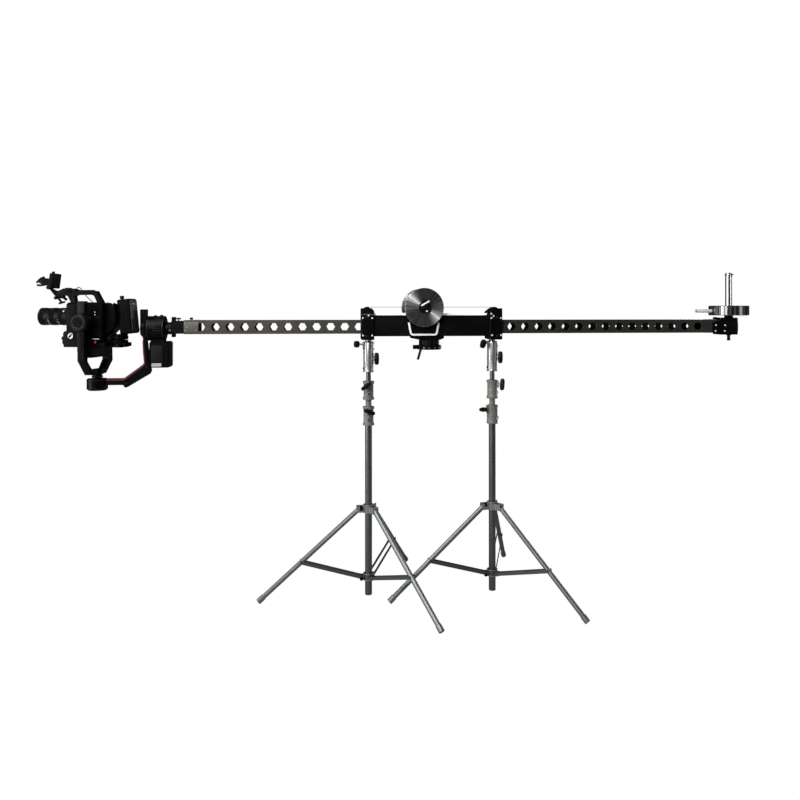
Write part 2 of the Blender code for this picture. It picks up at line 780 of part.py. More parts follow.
def lugBox(name, parent, angle, low, high, start, reach, width):
    """A block standing out from the column's axis in the direction of an angle."""
    lug = box(name, (start, -width / 2, low), (reach, width / 2, high), parent=parent)
    lug.rotation_euler = (0.0, 0.0, math.radians(angle))
    return lug


def radialRod(name, parent, radius, start, end, height, angle, sides=12):
    turn = Matrix.Rotation(math.radians(angle), 4, "Z") @ Matrix.Rotation(math.pi / 2, 4, "Y")
    bar = rod(name, radius, start, end, "Z", (0.0, 0.0, height), parent=parent, sides=sides)
    bar.rotation_euler = turn.to_euler()
    return bar


def crossRod(name, parent, radius, halfLength, out, height, angle, sides=12):
    """A pin across a leg's plane, at a distance out from the column."""
    turn = Matrix.Rotation(math.radians(angle), 4, "Z") @ Matrix.Rotation(math.pi / 2, 4, "X")
    place = Matrix.Rotation(math.radians(angle), 4, "Z") @ Vector((out, 0.0, height))
    pin = rod(name, radius, -halfLength, halfLength, "Z", place, parent=parent, sides=sides)
    pin.rotation_euler = turn.to_euler()
    return pin


def buildClampKnob(side, name, parent, direction, height):
    """A T-knob: its shaft turns in the clamp's lug."""
    angle, slope = direction
    reach = knobReach
    out = Matrix.Rotation(math.radians(angle), 4, "Z") @ Vector((lugReach, 0.0, height))
    place = bpy.data.objects.new(f"{side}_{name}_turn", None)
    rig.objects.link(place)
    place.parent = parent
    place.location = out
    place.rotation_euler = (0.0, 0.0, math.radians(angle))
    profile = [(0.0, reach), (0.009, reach), (0.011, reach - 0.002), (0.011, reach - 0.014),
               (0.007, reach - 0.018), (0.007, gap), (knobShaft, gap), (knobShaft, -knobSeat),
               (0.0, -knobSeat)]
    knob = turned(f"{side}_{name}", profile, "X", material=knobBlack, parent=place, steps=knobFacets)
    bar = rod(f"{side}_{name}_bar", knobBarRadius, -knobBarLength / 2, knobBarLength / 2, "Z",
              (reach - 0.0075, 0.0, 0.0), parent=place, sides=10)
    bar.rotation_euler = (math.radians(slope), 0.0, 0.0)
    fuse(knob, bar)


def buildReceiver(side, frame):
    top = receiverTop - gap
    shoulder = top - receiverNeckHeight
    groove = receiverRadius - receiverGroove
    lip = receiverBottom + receiverLipHeight
    profile = [(0.0, top), (receiverNeckRadius, top), (receiverNeckRadius, shoulder),
               (receiverRadius - 0.003, shoulder), (receiverRadius, shoulder - 0.003),
               (receiverRadius, receiverStep), (groove, receiverStep - 0.001), (groove, receiverStep - 0.003),
               (receiverLowRadius, receiverStep - 0.004), (receiverLowRadius, lip + 0.002),
               (receiverLipRadius, lip), (receiverLipRadius, receiverBottom + 0.001),
               (receiverLipRadius - 0.001, receiverBottom), (topRiserRadius, receiverBottom),
               (topRiserRadius, topRiserBottom), (topRiserRadius - 0.002, topRiserBottom),
               (topRiserRadius - 0.002, receiverBottom - 0.03), (0.0, receiverBottom - 0.03)]
    turned(f"{side}_receiver", profile, "Z", material=standSteel, parent=frame, steps=standFacets)


def buildRiser(side, frame, angle):
    outer = clampRadius
    flange = clampFlange
    bore = topRiserRadius + runGap
    high = riserClampTop
    low = riserClampBottom
    step = clampFlangeHeight
    profile = [(bore, high), (flange - 0.002, high), (flange, high - 0.002), (flange, high - step),
               (outer, high - step - 0.003), (outer, low + step + 0.003), (flange, low + step),
               (flange, low + 0.002), (flange - 0.002, low), (riserRadius, low), (riserRadius, riserBottom),
               (riserBore, riserBottom), (riserBore, low + 0.01), (bore, low + 0.01)]
    riser = turned(f"{side}_riser", profile, "Z", material=standSteel, parent=frame, steps=standFacets,
                   ring=True)
    middle = high - clampLugDrop
    fuse(riser, lugBox(f"{side}_riser_lug", frame, angle, middle - lugHeight / 2, middle + lugHeight / 2,
                       outer - 0.006, lugReach, lugThickness))
    cut(riser, radialRod(f"{side}_riser_knob_hole", frame, knobShaft + runGap, lugReach - knobSeat - runGap,
                         lugReach + 0.01, middle, angle))


def buildColumn(side, frame):
    wide = lowCollarRadius
    top = lowCollarZ + lowCollarHeight / 2
    low = lowCollarZ - lowCollarHeight / 2
    profile = [(columnRadius, columnTop), (columnRadius, top), (wide - 0.002, top), (wide, top - 0.002),
               (wide, low + 0.002), (wide - 0.002, low), (columnRadius, low), (columnRadius, columnBottom),
               (columnBore, columnBottom), (columnBore, columnTop)]
    return turned(f"{side}_column", profile, "Z", material=standSteel, parent=frame, steps=standFacets,
                  ring=True)


def buildColumnClamp(side, frame, angle):
    outer = clampRadius
    flange = clampFlange
    seat = columnRadius + gap
    bore = riserRadius + runGap
    high = clampTop
    low = clampBottom
    step = clampFlangeHeight
    profile = [(bore, high), (flange - 0.002, high), (flange, high - 0.002), (flange, high - step),
               (outer, high - step - 0.003), (outer, low + step + 0.003), (flange, low + step),
               (flange, low + 0.002), (flange - 0.002, low), (seat, low), (seat, columnTop + gap),
               (bore, columnTop + gap)]
    clamp = turned(f"{side}_column_clamp", profile, "Z", material=castGrey, parent=frame,
                   steps=standFacets, ring=True)
    middle = high - clampLugDrop
    fuse(clamp, lugBox(f"{side}_column_lug", frame, angle, middle - lugHeight / 2, middle + lugHeight / 2,
                       outer - 0.006, lugReach, lugThickness))
    cut(clamp, radialRod(f"{side}_column_knob_hole", frame, knobShaft + runGap, lugReach - knobSeat - runGap,
                         lugReach + 0.01, middle, angle))


def buildLegCollar(side, frame, angles):
    bore = columnRadius + runGap
    half = collarHeight / 2
    wide = collarRadius
    profile = [(bore, half), (wide - 0.002, half), (wide, half - 0.002), (wide, 0.002 - half),
               (wide - 0.002, -half), (bore, -half)]
    collar = turned(f"{side}_leg_collar", profile, "Z", material=castGrey, parent=frame,
                    steps=standFacets, ring=True)
    earInner = legRadius + runGap
    earOuter = earInner + 0.004
    for number, angle in enumerate(angles, start=1):
        for hand in (-1.0, 1.0):
            near, far = sorted((hand * earInner, hand * earOuter))
            ear = box(f"{side}_ear_{number}", (0.022, near, -half + 0.003),
                      (legPivotRadius + 0.009, far, half - 0.006), parent=frame)
            ear.rotation_euler = (0.0, 0.0, math.radians(angle))
            fuse(collar, ear)
        fuse(collar, crossRod(f"{side}_leg_pin_{number}", frame, 0.003, earOuter, legPivotRadius,
                              -legPivotDrop, angle, sides=8))


def buildLeg(side, number, frame):
    """A tube with a thicker foot, its pivot at the frame; the floor trims the foot flat."""
    out, up, length = legDirection()
    end = length
    profile = [(0.0, 0.011), (legRadius - 0.003, 0.011), (legRadius, 0.008), (legRadius, footLength - end),
               (footRadius, footLength - end - 0.002), (footRadius, 0.001 - end), (footRadius - 0.001, -end),
               (0.0, -end)]
    leg = turned(f"{side}_leg_{number}", profile, "Z", material=standSteel, parent=frame, steps=14)
    leg.rotation_euler = (0.0, -math.atan2(out, -up), 0.0)
    cut(leg, rod(f"{side}_leg_hole_{number}", 0.0037, -0.02, 0.02, "Y", parent=frame, sides=10))
    cut(leg, box(f"{side}_floor_{number}", (legFootRadius - legPivotRadius - 0.06, -0.05, -legPivotZ - 0.05),
                 (legFootRadius - legPivotRadius + 0.06, 0.05, -legPivotZ), parent=frame))


def buildBrace(side, number, frame):
    """Two flat strips either side of the leg, held together by the pin in the lower collar's ear."""
    out, up, length = legDirection()
    farOut = legPivotRadius + braceShare * length * out - bracePivotRadius
    farUp = legPivotZ + braceShare * length * up - lowCollarZ
    span = math.hypot(farOut, farUp)
    tilt = -math.atan2(farUp, farOut)
    inner = legRadius + runGap + 0.0002
    first = box(f"{side}_brace_{number}", (-stripOverrun, inner, -stripWidth / 2),
                (span + stripOverrun, inner + stripThickness, stripWidth / 2), standSteel, frame)
    second = box(f"{side}_strip_{number}", (-stripOverrun, -inner - stripThickness, -stripWidth / 2),
                 (span + stripOverrun, -inner, stripWidth / 2), parent=frame)
    pin = rod(f"{side}_brace_pin_{number}", bracePinRadius, -inner - stripThickness, inner + stripThickness,
              "Y", parent=frame, sides=8)
    first.rotation_euler = (0.0, tilt, 0.0)
    second.rotation_euler = (0.0, tilt, 0.0)
    fuse(first, second, pin)


def buildStand(side, sign, angles, riserKnob, columnKnob):
    place = frameAt(side + "_stand", (sign * standX, 0.0, 0.0))
    buildReceiver(side, place)
    riserFrame = frameAt(side + "_riser_slide", (0.0, 0.0, 0.0), place)
    buildRiser(side, riserFrame, riserKnob[0])
    buildClampKnob(side, "riser_knob", riserFrame, riserKnob, riserClampTop - clampLugDrop)
    columnFrame = frameAt(side + "_column_slide", (0.0, 0.0, 0.0), place)
    column = buildColumn(side, columnFrame)
    buildColumnClamp(side, columnFrame, columnKnob[0])
    buildClampKnob(side, "column_knob", columnFrame, columnKnob, clampTop - clampLugDrop)
    collarFrame = frameAt(side + "_collar_slide", (0.0, 0.0, collarZ), columnFrame)
    buildLegCollar(side, collarFrame, angles)
    earHalf = legRadius + runGap + 0.0002 - 0.0006
    for number, angle in enumerate(angles, start=1):
        around = Matrix.Rotation(math.radians(angle), 4, "Z")
        pivot = around @ Vector((legPivotRadius, 0.0, -legPivotDrop))
        legFrame = frameAt(f"{side}_leg_hinge_{number}", pivot, collarFrame, angle)
        buildLeg(side, number, legFrame)
        ear = lugBox(f"{side}_brace_ear_{number}", columnFrame, angle, lowCollarZ - 0.010,
                     lowCollarZ + 0.010, 0.020, bracePivotRadius + 0.007, 2 * earHalf)
        fuse(column, ear)
        cut(column, crossRod(f"{side}_brace_hole_{number}", columnFrame, bracePinRadius + runGap,
                             earHalf + 0.01, bracePivotRadius, lowCollarZ, angle, sides=8))
        braceFrame = frameAt(f"{side}_brace_hinge_{number}",
                             around @ Vector((bracePivotRadius, 0.0, lowCollarZ)), columnFrame, angle)
        buildBrace(side, number, braceFrame)


buildStand("left", -1.0, leftAngles, leftRiserKnob, leftColumnKnob)
buildStand("right", 1.0, rightAngles, rightRiserKnob, rightColumnKnob)

# Gimbal arm: it rolls about the arm's line and carries the pan motor
rollFrame = frameAt("roll_axis", (0.0, 0.0, rollZ))


def buildGimbalArm():
    motorFront = panX + panMotorRadius - 0.012
    outline = [(gimbalOuter, gimbalTop), (gimbalInner, gimbalTop), (gimbalInner, shoulderZ), (waistX, waistZ),
               (bendX, bendZ + 0.010), (bendX - 0.006, bendZ - 0.006), (heelX, heelZ), (soleX, soleZ),
               (barStartX, panBarLow), (motorFront, panBarLow), (motorFront, panBarHigh),
               (barStartX, panBarHigh), (elbowX, elbowZ), (throatX, throatZ), (gimbalOuter, throatZ + 0.015)]
    place = frameAt("gimbal_arm_frame", (0.0, 0.0, 0.0), rollFrame)
    flat = [(across, up - rollZ) for across, up in outline]
    arm = outlinePiece("gimbal_arm", [flat], gimbalDepth, "XZ", 0.0, gimbalBlack, place)
    edge = arm.modifiers.new("edges", "BEVEL")
    edge.width = 0.003
    edge.segments = 1
    cut(arm, rod("pan_motor_seat", panMotorRadius + gap, panMotorBottom - rollZ - 0.02,
                 panMotorTop - rollZ + 0.02, "Z", (panX, 0.0, 0.0), parent=place, sides=32))
    top = panMotorTop - rollZ
    low = panMotorBottom - rollZ
    profile = [(0.0, top), (panMotorRadius - 0.004, top), (panMotorRadius, top - 0.004),
               (panMotorRadius, low + 0.008), (panMotorRadius - 0.008, low), (0.0, low)]
    turned("pan_motor", profile, "Z", (panX, 0.0, 0.0), gimbalBlack, place, steps=32)


# Fork: it turns on the pan motor, and the tilt motor is in its nearer arm
panFrame = frameAt("pan_axis", (panX, 0.0, 0.0), turn=panRest)


def buildFork():
    outline = [(nearOuter, nearPostTop), (nearOuter, forkBottom + nearSlope),
               (nearOuter + 0.062, forkBottom), (farOuter - 0.052, forkBottom),
               (farOuter + 0.009, forkBottom + forkSlope), (farOuter, forkTop), (farInner, forkTop),
               (farInner, forkInside + 0.042), (farInner - 0.034, forkInside),
               (nearInner + 0.040, forkInside), (nearInner, forkInside + 0.042), (nearInner, nearPostTop)]
    fork = outlinePiece("fork", [outline], forkWidth, "YZ", 0.0, gimbalBlack, panFrame)
    neck = rod("fork_neck", forkNeckRadius, panMotorTop + gap, forkBottom + 0.006, "Z", parent=panFrame,
               sides=20)
    motor = turned("tilt_motor", [(0.0, nearInner + 0.002), (tiltMotorRadius, nearInner + 0.002),
                                  (tiltMotorRadius, tiltMotorFace + 0.006),
                                  (tiltMotorRadius - 0.006, tiltMotorFace), (0.0, tiltMotorFace)],
                   "Y", (0.0, 0.0, tiltZ), None, panFrame, steps=28)
    hub = rod("far_hub", farHubRadius, farInner - 0.002, farHubFace, "Y", (0.0, 0.0, tiltZ), parent=panFrame,
              sides=20)
    fuse(fork, neck, motor, hub)


# Camera, carried by a cradle that tilts between the fork's arms
tiltFrame = frameAt("tilt_axis", (0.0, 0.0, tiltZ), panFrame)


def cameraBox(name, low, high, material=None, bevel=0.0):
    """A block given in the fork's frame, but carried by the tilting frame."""
    drop = Vector((0.0, 0.0, -tiltZ))
    return box(name, Vector(low) + drop, Vector(high) + drop, material, tiltFrame, bevel=bevel)


def buildCradle():
    half = cradleLength / 2
    floor = cradleBottom + cradleFloor
    sideTop = tiltZ + 0.03
    cradle = cameraBox("camera_cradle", (-half, cradleNear, cradleBottom), (half, cradleFar, floor),
                       gimbalBlack)
    near = cameraBox("cradle_near_side", (-half, cradleNear, cradleBottom),
                     (half, cradleNear + cradleSide, sideTop))
    far = cameraBox("cradle_far_side", (-half, cradleFar - cradleSide, cradleBottom),
                    (half, cradleFar, sideTop))
    slide = cameraBox("quick_plate", (plateFront, -plateWidth / 2 - 0.018, floor - 0.002),
                      (plateBack, plateWidth / 2 - 0.018, bodyBottom - gap))
    nearBoss = rod("near_boss", 0.020, nearInner + 0.002 + gap, cradleNear + 0.002, "Y",
                   parent=tiltFrame, sides=20)
    farBoss = rod("far_boss", 0.014, cradleFar - 0.002, farInner - 0.002 - gap, "Y",
                  parent=tiltFrame, sides=16)
    fuse(cradle, near, far, slide, nearBoss, farBoss)


def batteryFace(height):
    """Where the battery's leaning front face stands at a height."""
    lean = math.radians(rearBatteryLean)
    return rearBatteryX - rearBatteryLength / 2 / math.cos(lean) - (height - rearBatteryZ) * math.tan(lean)


def buildBody():
    body = cameraBox("camera_body", (bodyFront, bodyNear, bodyBottom), (bodyBack, bodyFar, bodyTop),
                     cameraBlack, bevel=bodyBevel)
    # The tail's back follows the battery's slope and then curves under, a quarter of an ellipse
    start = bodyBack - 0.012
    reach = batteryFace(tailMiddle) - gap - start
    tailDrop = tailMiddle - tailBottom
    outline = [(start, tailTop), (batteryFace(tailTop) - gap, tailTop)]
    for step in range(tailSteps + 1):
        turn = math.pi / 2 * step / tailSteps
        outline.append((start + reach * math.cos(turn), tailMiddle - tailDrop * math.sin(turn)))
    flat = [(across, up - tiltZ) for across, up in outline]
    fuse(body, outlinePiece("body_tail", [flat], tailWidth, "XZ", (bodyNear + bodyFar) / 2, None, tiltFrame))


def buildLens():
    mount = bodyFront - gap
    length = mount - lensFront
    ring = lensRadius
    profile = [(0.0, length), (ring - 0.004, length), (ring, length - 0.003), (ring, length - 0.020),
               (ring - 0.0015, length - 0.022), (ring - 0.0015, 0.100), (ring, 0.098), (ring, 0.060),
               (ring - 0.002, 0.058), (ring - 0.002, 0.020), (ring - 0.006, 0.016), (ring - 0.006, 0.0),
               (0.0, 0.0)]
    lens = turned("camera_lens", profile, "Z", (mount, lensY, lensZ - tiltZ), lensBlack, tiltFrame, steps=24)
    lens.rotation_euler = (0.0, -math.pi / 2, 0.0)


def buildHandle():
    low = bodyTop + gap
    under = handleTop - gripThickness
    outline = [(-0.194, under - 0.004), (-0.146, under - 0.001), (-0.134, under - 0.006), (-0.118, low),
               (-0.094, low), (-0.100, under - 0.006), (-0.092, under), (-0.014, under + 0.002),
               (0.000, under - 0.004), (0.016, low), (0.044, low), (0.012, under + 0.020),
               (-0.004, handleTop - 0.004), (-0.080, handleTop), (-0.104, handleTop + 0.008),
               (-0.158, handleTop + 0.008), (-0.182, handleTop - 0.002), (-0.194, under + 0.018)]
    flat = [(across, up - tiltZ) for across, up in outline]
    handle = outlinePiece("top_handle", [flat], handleWidth, "XZ", handleY, cameraBlack, tiltFrame)
    start = Vector((-0.148, handleY, under - 0.022 - tiltZ))
    rise = Vector((monitorPivotX, handleY, monitorPivotZ - tiltZ)) - start
    rise.length = rise.length - pivotBarrel - gap
    bar = rod("monitor_rod", 0.0065, 0.0, rise.length, "Z", start, parent=tiltFrame, sides=12)
    bar.rotation_euler = rise.to_track_quat("Z", "Y").to_euler()
    block = cameraBox("rod_clamp", (-0.190, handleY - 0.011, under - 0.016),
                      (-0.160, handleY + 0.011, under + 0.004))
    fuse(handle, bar, block)


def buildMonitor():
    pivot = frameAt("monitor_tilt", (monitorPivotX, handleY, monitorPivotZ - tiltZ), tiltFrame)
    left = monitorX - monitorThickness / 2 - monitorPivotX
    middle = monitorY - handleY
    low = monitorZ - monitorHeight / 2 - monitorPivotZ
    lean = frameAt("monitor_lean", (0.0, 0.0, 0.0), pivot)
    lean.rotation_euler = (0.0, math.radians(monitorLean), 0.0)
    screen = box("monitor", (left, middle - monitorWidth / 2, low),
                 (left + monitorThickness, middle + monitorWidth / 2, low + monitorHeight),
                 cameraBlack, lean, bevel=0.003)
    fuse(screen, box("monitor_back", (left - monitorBackReach, middle - monitorBackWidth / 2, low + 0.010),
                     (left + 0.004, middle + monitorBackWidth / 2, low + monitorHeight * 0.6), parent=lean),
         rod("monitor_pivot", pivotBarrel, -0.014, 0.014, "Y", parent=pivot, sides=16),
         box("monitor_neck", (-0.007, -0.010, 0.004), (left + 0.010, 0.010, low + 0.016), parent=pivot))


def buildRearBattery():
    half = Vector((rearBatteryLength, rearBatteryWidth, rearBatteryHeight)) / 2
    battery = box("rear_battery", -half, half, cameraBlack, tiltFrame, bevel=0.006)
    battery.location = (rearBatteryX, rearBatteryY, rearBatteryZ - tiltZ)
    battery.rotation_euler = (0.0, math.radians(-rearBatteryLean), 0.0)


buildGimbalArm()
buildFork()
buildCradle()
buildBody()
buildLens()
buildHandle()
buildMonitor()
buildRearBattery()
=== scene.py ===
# Telescopic camera arm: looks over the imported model.
# Lengths are metres. Pieces are drawn in a working frame halfway between the stands
# and then moved to the object's own frame.

import json
import math

import bmesh
import bpy
from mathutils import Matrix, Vector


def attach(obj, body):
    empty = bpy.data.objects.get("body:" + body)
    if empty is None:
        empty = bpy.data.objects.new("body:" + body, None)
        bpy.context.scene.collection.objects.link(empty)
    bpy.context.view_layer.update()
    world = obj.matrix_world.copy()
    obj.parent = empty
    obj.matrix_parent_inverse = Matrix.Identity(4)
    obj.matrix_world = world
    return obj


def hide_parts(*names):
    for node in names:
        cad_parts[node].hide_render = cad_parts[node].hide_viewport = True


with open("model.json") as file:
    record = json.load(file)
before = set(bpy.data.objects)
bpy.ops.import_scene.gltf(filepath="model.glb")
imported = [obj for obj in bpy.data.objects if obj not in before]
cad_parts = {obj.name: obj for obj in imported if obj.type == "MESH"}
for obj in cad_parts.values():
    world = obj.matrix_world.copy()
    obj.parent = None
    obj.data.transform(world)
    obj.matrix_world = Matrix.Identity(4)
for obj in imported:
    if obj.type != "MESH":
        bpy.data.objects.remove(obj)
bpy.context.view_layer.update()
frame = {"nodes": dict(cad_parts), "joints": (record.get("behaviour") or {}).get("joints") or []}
nodes = frame["nodes"]
print("frame loaded")

# Frames that pieces are drawn in
rigPlace = Matrix.Translation((0.1255, -0.03, 0.0))
standX = 0.3153
panX = -1.632
forkTurn = math.radians(-12.0)
frames = {
    "object": Matrix.Identity(4),
    "rig": rigPlace,
    "fork": rigPlace @ Matrix.Translation((panX, 0.0, 0.0)) @ Matrix.Rotation(forkTurn, 4, "Z"),
    "left": rigPlace @ Matrix.Translation((-standX, 0.0, 0.0)),
    "right": rigPlace @ Matrix.Translation((standX, 0.0, 0.0)),
}

# Node and colour helpers


def srgb(text):
    channels = [int(text[i:i + 2], 16) / 255.0 for i in (1, 3, 5)]
    return tuple(c / 12.92 if c <= 0.04045 else ((c + 0.055) / 1.055) ** 2.4 for c in channels) + (1.0,)


def fill(tree, node, inputs):
    """Each input takes a value, or a link when it is given a socket."""
    for key, value in inputs.items():
        if isinstance(value, bpy.types.NodeSocket):
            tree.links.new(value, node.inputs[key])
        else:
            node.inputs[key].default_value = value


def addNode(tree, kind, inputs=None, **settings):
    node = tree.nodes.new(kind)
    for key, value in settings.items():
        setattr(node, key, value)
    fill(tree, node, inputs or {})
    return node


def newMaterial(name):
    material = bpy.data.materials.new(name)
    material.use_nodes = True
    tree = material.node_tree
    tree.nodes.clear()
    shader = addNode(tree, "ShaderNodeBsdfPrincipled")
    addNode(tree, "ShaderNodeOutputMaterial", {"Surface": shader.outputs["BSDF"]})
    return material, tree, shader


def noiseValue(tree, scale, detail=3.0, stretch=(1.0, 1.0, 1.0), roughness=0.55):
    place = addNode(tree, "ShaderNodeTexCoord").outputs["Object"]
    place = addNode(tree, "ShaderNodeMapping", {"Vector": place, "Scale": stretch}).outputs["Vector"]
    return noiseAt(tree, place, scale, detail, roughness)


def noiseAt(tree, place, scale, detail, roughness):
    return addNode(tree, "ShaderNodeTexNoise", {"Vector": place, "Scale": scale, "Detail": detail,
        "Roughness": roughness}).outputs["Fac"]


def between(tree, value, low, high, fromLow=0.3, fromHigh=0.7):
    return addNode(tree, "ShaderNodeMapRange", {"Value": value, "From Min": fromLow, "From Max": fromHigh,
        "To Min": low, "To Max": high}).outputs["Result"]


def toned(tree, factor, colour, tone):
    """The colour, mixed with one that is darker by a share."""
    base = srgb(colour)
    darker = tuple(c * (1.0 - tone) for c in base[:3]) + (1.0,)
    return addNode(tree, "ShaderNodeMix", {0: factor, 6: darker, 7: base}, data_type="RGBA").outputs[2]


def bumped(tree, height, strength, distance, edge):
    """Fine relief on a surface whose edges are rounded by a radius."""
    soft = addNode(tree, "ShaderNodeBevel", {"Radius": edge}, samples=4).outputs["Normal"]
    return addNode(tree, "ShaderNodeBump", {"Height": height, "Strength": strength, "Distance": distance,
        "Normal": soft}).outputs["Normal"]


def vector(tree, operation, *values):
    node = addNode(tree, "ShaderNodeVectorMath", dict(enumerate(values)), operation=operation)
    return node.outputs["Value" if operation == "LENGTH" else "Vector"]


def coated(name, colour, roughness, grain, lift, edge=0.0006, tone=0.25, sheen=0.5):
    """Paint, powder coat or moulded plastic: grain is the size of its texture in metres."""
    material, tree, shader = newMaterial(name)
    broad = noiseValue(tree, 14.0, 2.0)
    fine = noiseValue(tree, 1.0 / grain, 2.0)
    fill(tree, shader, {"Base Color": toned(tree, broad, colour, tone),
        "Roughness": between(tree, broad, roughness - 0.05, roughness + 0.07),
        "Normal": bumped(tree, fine, lift, grain * 0.25, edge), "Specular IOR Level": sheen})
    return material


def drawn(name, colour, roughness, along, streak=0.25, tone=0.2, edge=0.0006, metallic=1.0, glow=0.0):
    """Extruded or drawn metal, with streaks along one axis. Its emission is painted light: it lifts the
    shadow side, though the part is no lamp."""
    material, tree, shader = newMaterial(name)
    stretch = {"X": (0.02, 1.0, 1.0), "Y": (1.0, 0.02, 1.0), "Z": (1.0, 1.0, 0.02)}[along]
    lines = noiseValue(tree, 900.0, 4.0, stretch)
    spread = addNode(tree, "ShaderNodeMath", {0: lines, 1: noiseValue(tree, 9.0)},
        operation="MULTIPLY").outputs[0]
    # Painted light: the emission brightens the metal where light does not reach it.
    fill(tree, shader, {"Base Color": toned(tree, lines, colour, tone), "Roughness": between(tree, spread,
        roughness - 0.06, roughness + 0.12, 0.1, 0.4),
        "Normal": bumped(tree, lines, streak, 0.00008, edge), "Metallic": metallic,
        "Emission Color": srgb(colour), "Emission Strength": glow})
    return material


def turnedMetal(name, colour, roughness, centre, axis, ridges=0.0012, stretchy=0.75, paintedRays=0.0):
    """Metal faced on a lathe: fine rings about an axis, which spread its highlights into radial streaks.
    Noise by the direction from the axis darkens whole sectors of its colour: a painted reflection
    pattern."""
    material, tree, shader = newMaterial(name)
    place = addNode(tree, "ShaderNodeTexCoord").outputs["Object"]
    around = vector(tree, "CROSS_PRODUCT", vector(tree, "SUBTRACT", place, centre), axis)
    turn = addNode(tree, "ShaderNodeVectorTransform", {"Vector": around}, vector_type="VECTOR",
        convert_from="OBJECT", convert_to="WORLD").outputs["Vector"]
    out = addNode(tree, "ShaderNodeCombineXYZ", {"X": vector(tree, "LENGTH", around)}).outputs["Vector"]
    rings = noiseAt(tree, out, 1.0 / ridges, 4.0, 0.7)
    fan = noiseAt(tree, vector(tree, "NORMALIZE", around), 7.0, 3.0, 0.6)
    # Painted reflection: dark and light sectors about the axis stand in for bands that the steel
    # reflects.
    depth = between(tree, fan, 1.0 - paintedRays, 1.0, 0.42, 0.58)
    rayShadedColour = addNode(tree, "ShaderNodeVectorMath", {0: toned(tree, rings, colour, 0.2), "Scale": depth},
        operation="SCALE").outputs[0]
    fill(tree, shader, {"Base Color": rayShadedColour,
        "Roughness": between(tree, rings, roughness - 0.04, roughness + 0.06),
        "Normal": bumped(tree, rings, 0.12, 0.00006, 0.0008), "Tangent": vector(tree, "NORMALIZE", turn),
        "Metallic": 1.0, "Anisotropic": stretchy, "Anisotropic Rotation": 0.25})
    return material


def plainBright(name, colour, roughness, metallic=1.0, tone=0.15):
    """Small turned or plated hardware."""
    material, tree, shader = newMaterial(name)
    speck = noiseValue(tree, 1500.0)
    fill(tree, shader, {"Base Color": toned(tree, speck, colour, tone), "Metallic": metallic,
        "Roughness": between(tree, speck, roughness - 0.04, roughness + 0.08)})
    return material


# After the name, colour and roughness, coated takes grain, lift, edge, tone and sheen;
# drawn takes its axis, streak, tone, edge, metallic and glow; plainBright takes metallic and tone
looks = {
    "blackPowder": coated("black_powder_coat", "#030303", 0.42, 0.0007, 0.35, 0.0006, 0.25, 0.08),
    "sleeveBlack": coated("black_anodised_sleeve", "#040404", 0.36, 0.0005, 0.12, 0.0006, 0.25, 0.14),
    "armDark": drawn("dark_anodised_extrusion", "#4a4743", 0.42, "X", 0.25, 0.18, 0.001, 0.85),
    "plateDark": drawn("anodised_end_plate", "#5b5955", 0.45, "X", 0.2, 0.15, 0.0004, 0.85),
    "tubeSteel": drawn("satin_steel_tube", "#6d7071", 0.3, "Z", 0.3, 0.25, 0.0006),
    "braceSteel": drawn("painted_steel_strip", "#5c5f5f", 0.42, "X", 0.2, 0.25, 0.0005, 0.8),
    "castGrey": coated("grey_clamp_casting", "#6f706b", 0.42, 0.0009, 0.35, 0.001, 0.3),
    "receiverGrey": drawn("satin_receiver_casting", "#b9b7b4", 0.28, "Z", 0.3, 0.25, 0.001, 0.9),
    # Track and belt pulleys: near white with a glow, painted light over their clear anodised metal
    "trackBright": drawn("clear_anodised_track_painted_glow", "#fbfbfb", 0.6, "X", 0.1, 0.04, 0.001, 0.0, 0.22),
    # Bare metal edges and screws, whitened and hardly metallic so they stay bright under any lamp: their
    # own metal with a painted reflection
    "rimBright": drawn("painted_reflection_rim", "#ededeb", 0.55, "Z", 0.2, 0.08, 0.0008, 0.15),
    "knobBlack": coated("black_moulded_knob", "#030303", 0.46, 0.0006, 0.4, 0.0008, 0.25, 0.12),
    "beltRubber": coated("belt_rubber", "#6a6a68", 0.65, 0.0008, 0.4, 0.0003),
    "gimbalBlack": coated("satin_magnesium_coat", "#030303", 0.3, 0.0005, 0.2, 0.001, 0.25, 0.07),
    "gimbalWarm": coated("warm_satin_arm_coat", "#141011", 0.36, 0.0005, 0.2, 0.001, 0.25, 0.14),
    "cameraBlack": coated("crackle_camera_paint", "#030303", 0.38, 0.0008, 0.5, 0.001, 0.25, 0.06),
    "lensBlack": coated("lens_barrel_anodised", "#040404", 0.3, 0.0004, 0.2, 0.0006, 0.25, 0.14),
    "lensRubber": coated("lens_ring_rubber", "#030303", 0.55, 0.0006, 0.5, 0.0004, 0.25, 0.07),
    "legSteel": plainBright("satin_leg_tube", "#6f7372", 0.4, 0.75, 0.12),
    "chrome": plainBright("polished_hardware", "#d9dad9", 0.16),
    "zinc": plainBright("zinc_plated_screw", "#b9b9b4", 0.3),
    "blackScrew": plainBright("black_oxide_screw", "#1d1d1d", 0.35, 0.7),
    "redLine": coated("red_anodised_line", "#580d15", 0.35, 0.0004, 0.1, 0.0002, 0.15),
    "redButton": coated("red_lock_button", "#b02a22", 0.35, 0.0004, 0.1, 0.0003, 0.1),
    "paleMark": coated("pale_marking_paint", "#d8d8d4", 0.55, 0.0004, 0.1, 0.0001, 0.1),
    "sideGrey": coated("grey_green_battery_shell", "#2c3330", 0.45, 0.0006, 0.3, 0.0008, 0.2),
    "greyLabel": coated("grey_printed_label", "#9a9a96", 0.6, 0.0004, 0.1, 0.0001, 0.1),
    "screenGlass": coated("dark_screen_glass", "#0a0c0d", 0.1, 0.001, 0.0, 0.0003, 0.1, 0.6),
    "lensGlass": coated("coated_front_glass", "#0b0d16", 0.05, 0.001, 0.0, 0.0001, 0.1, 0.9),
}
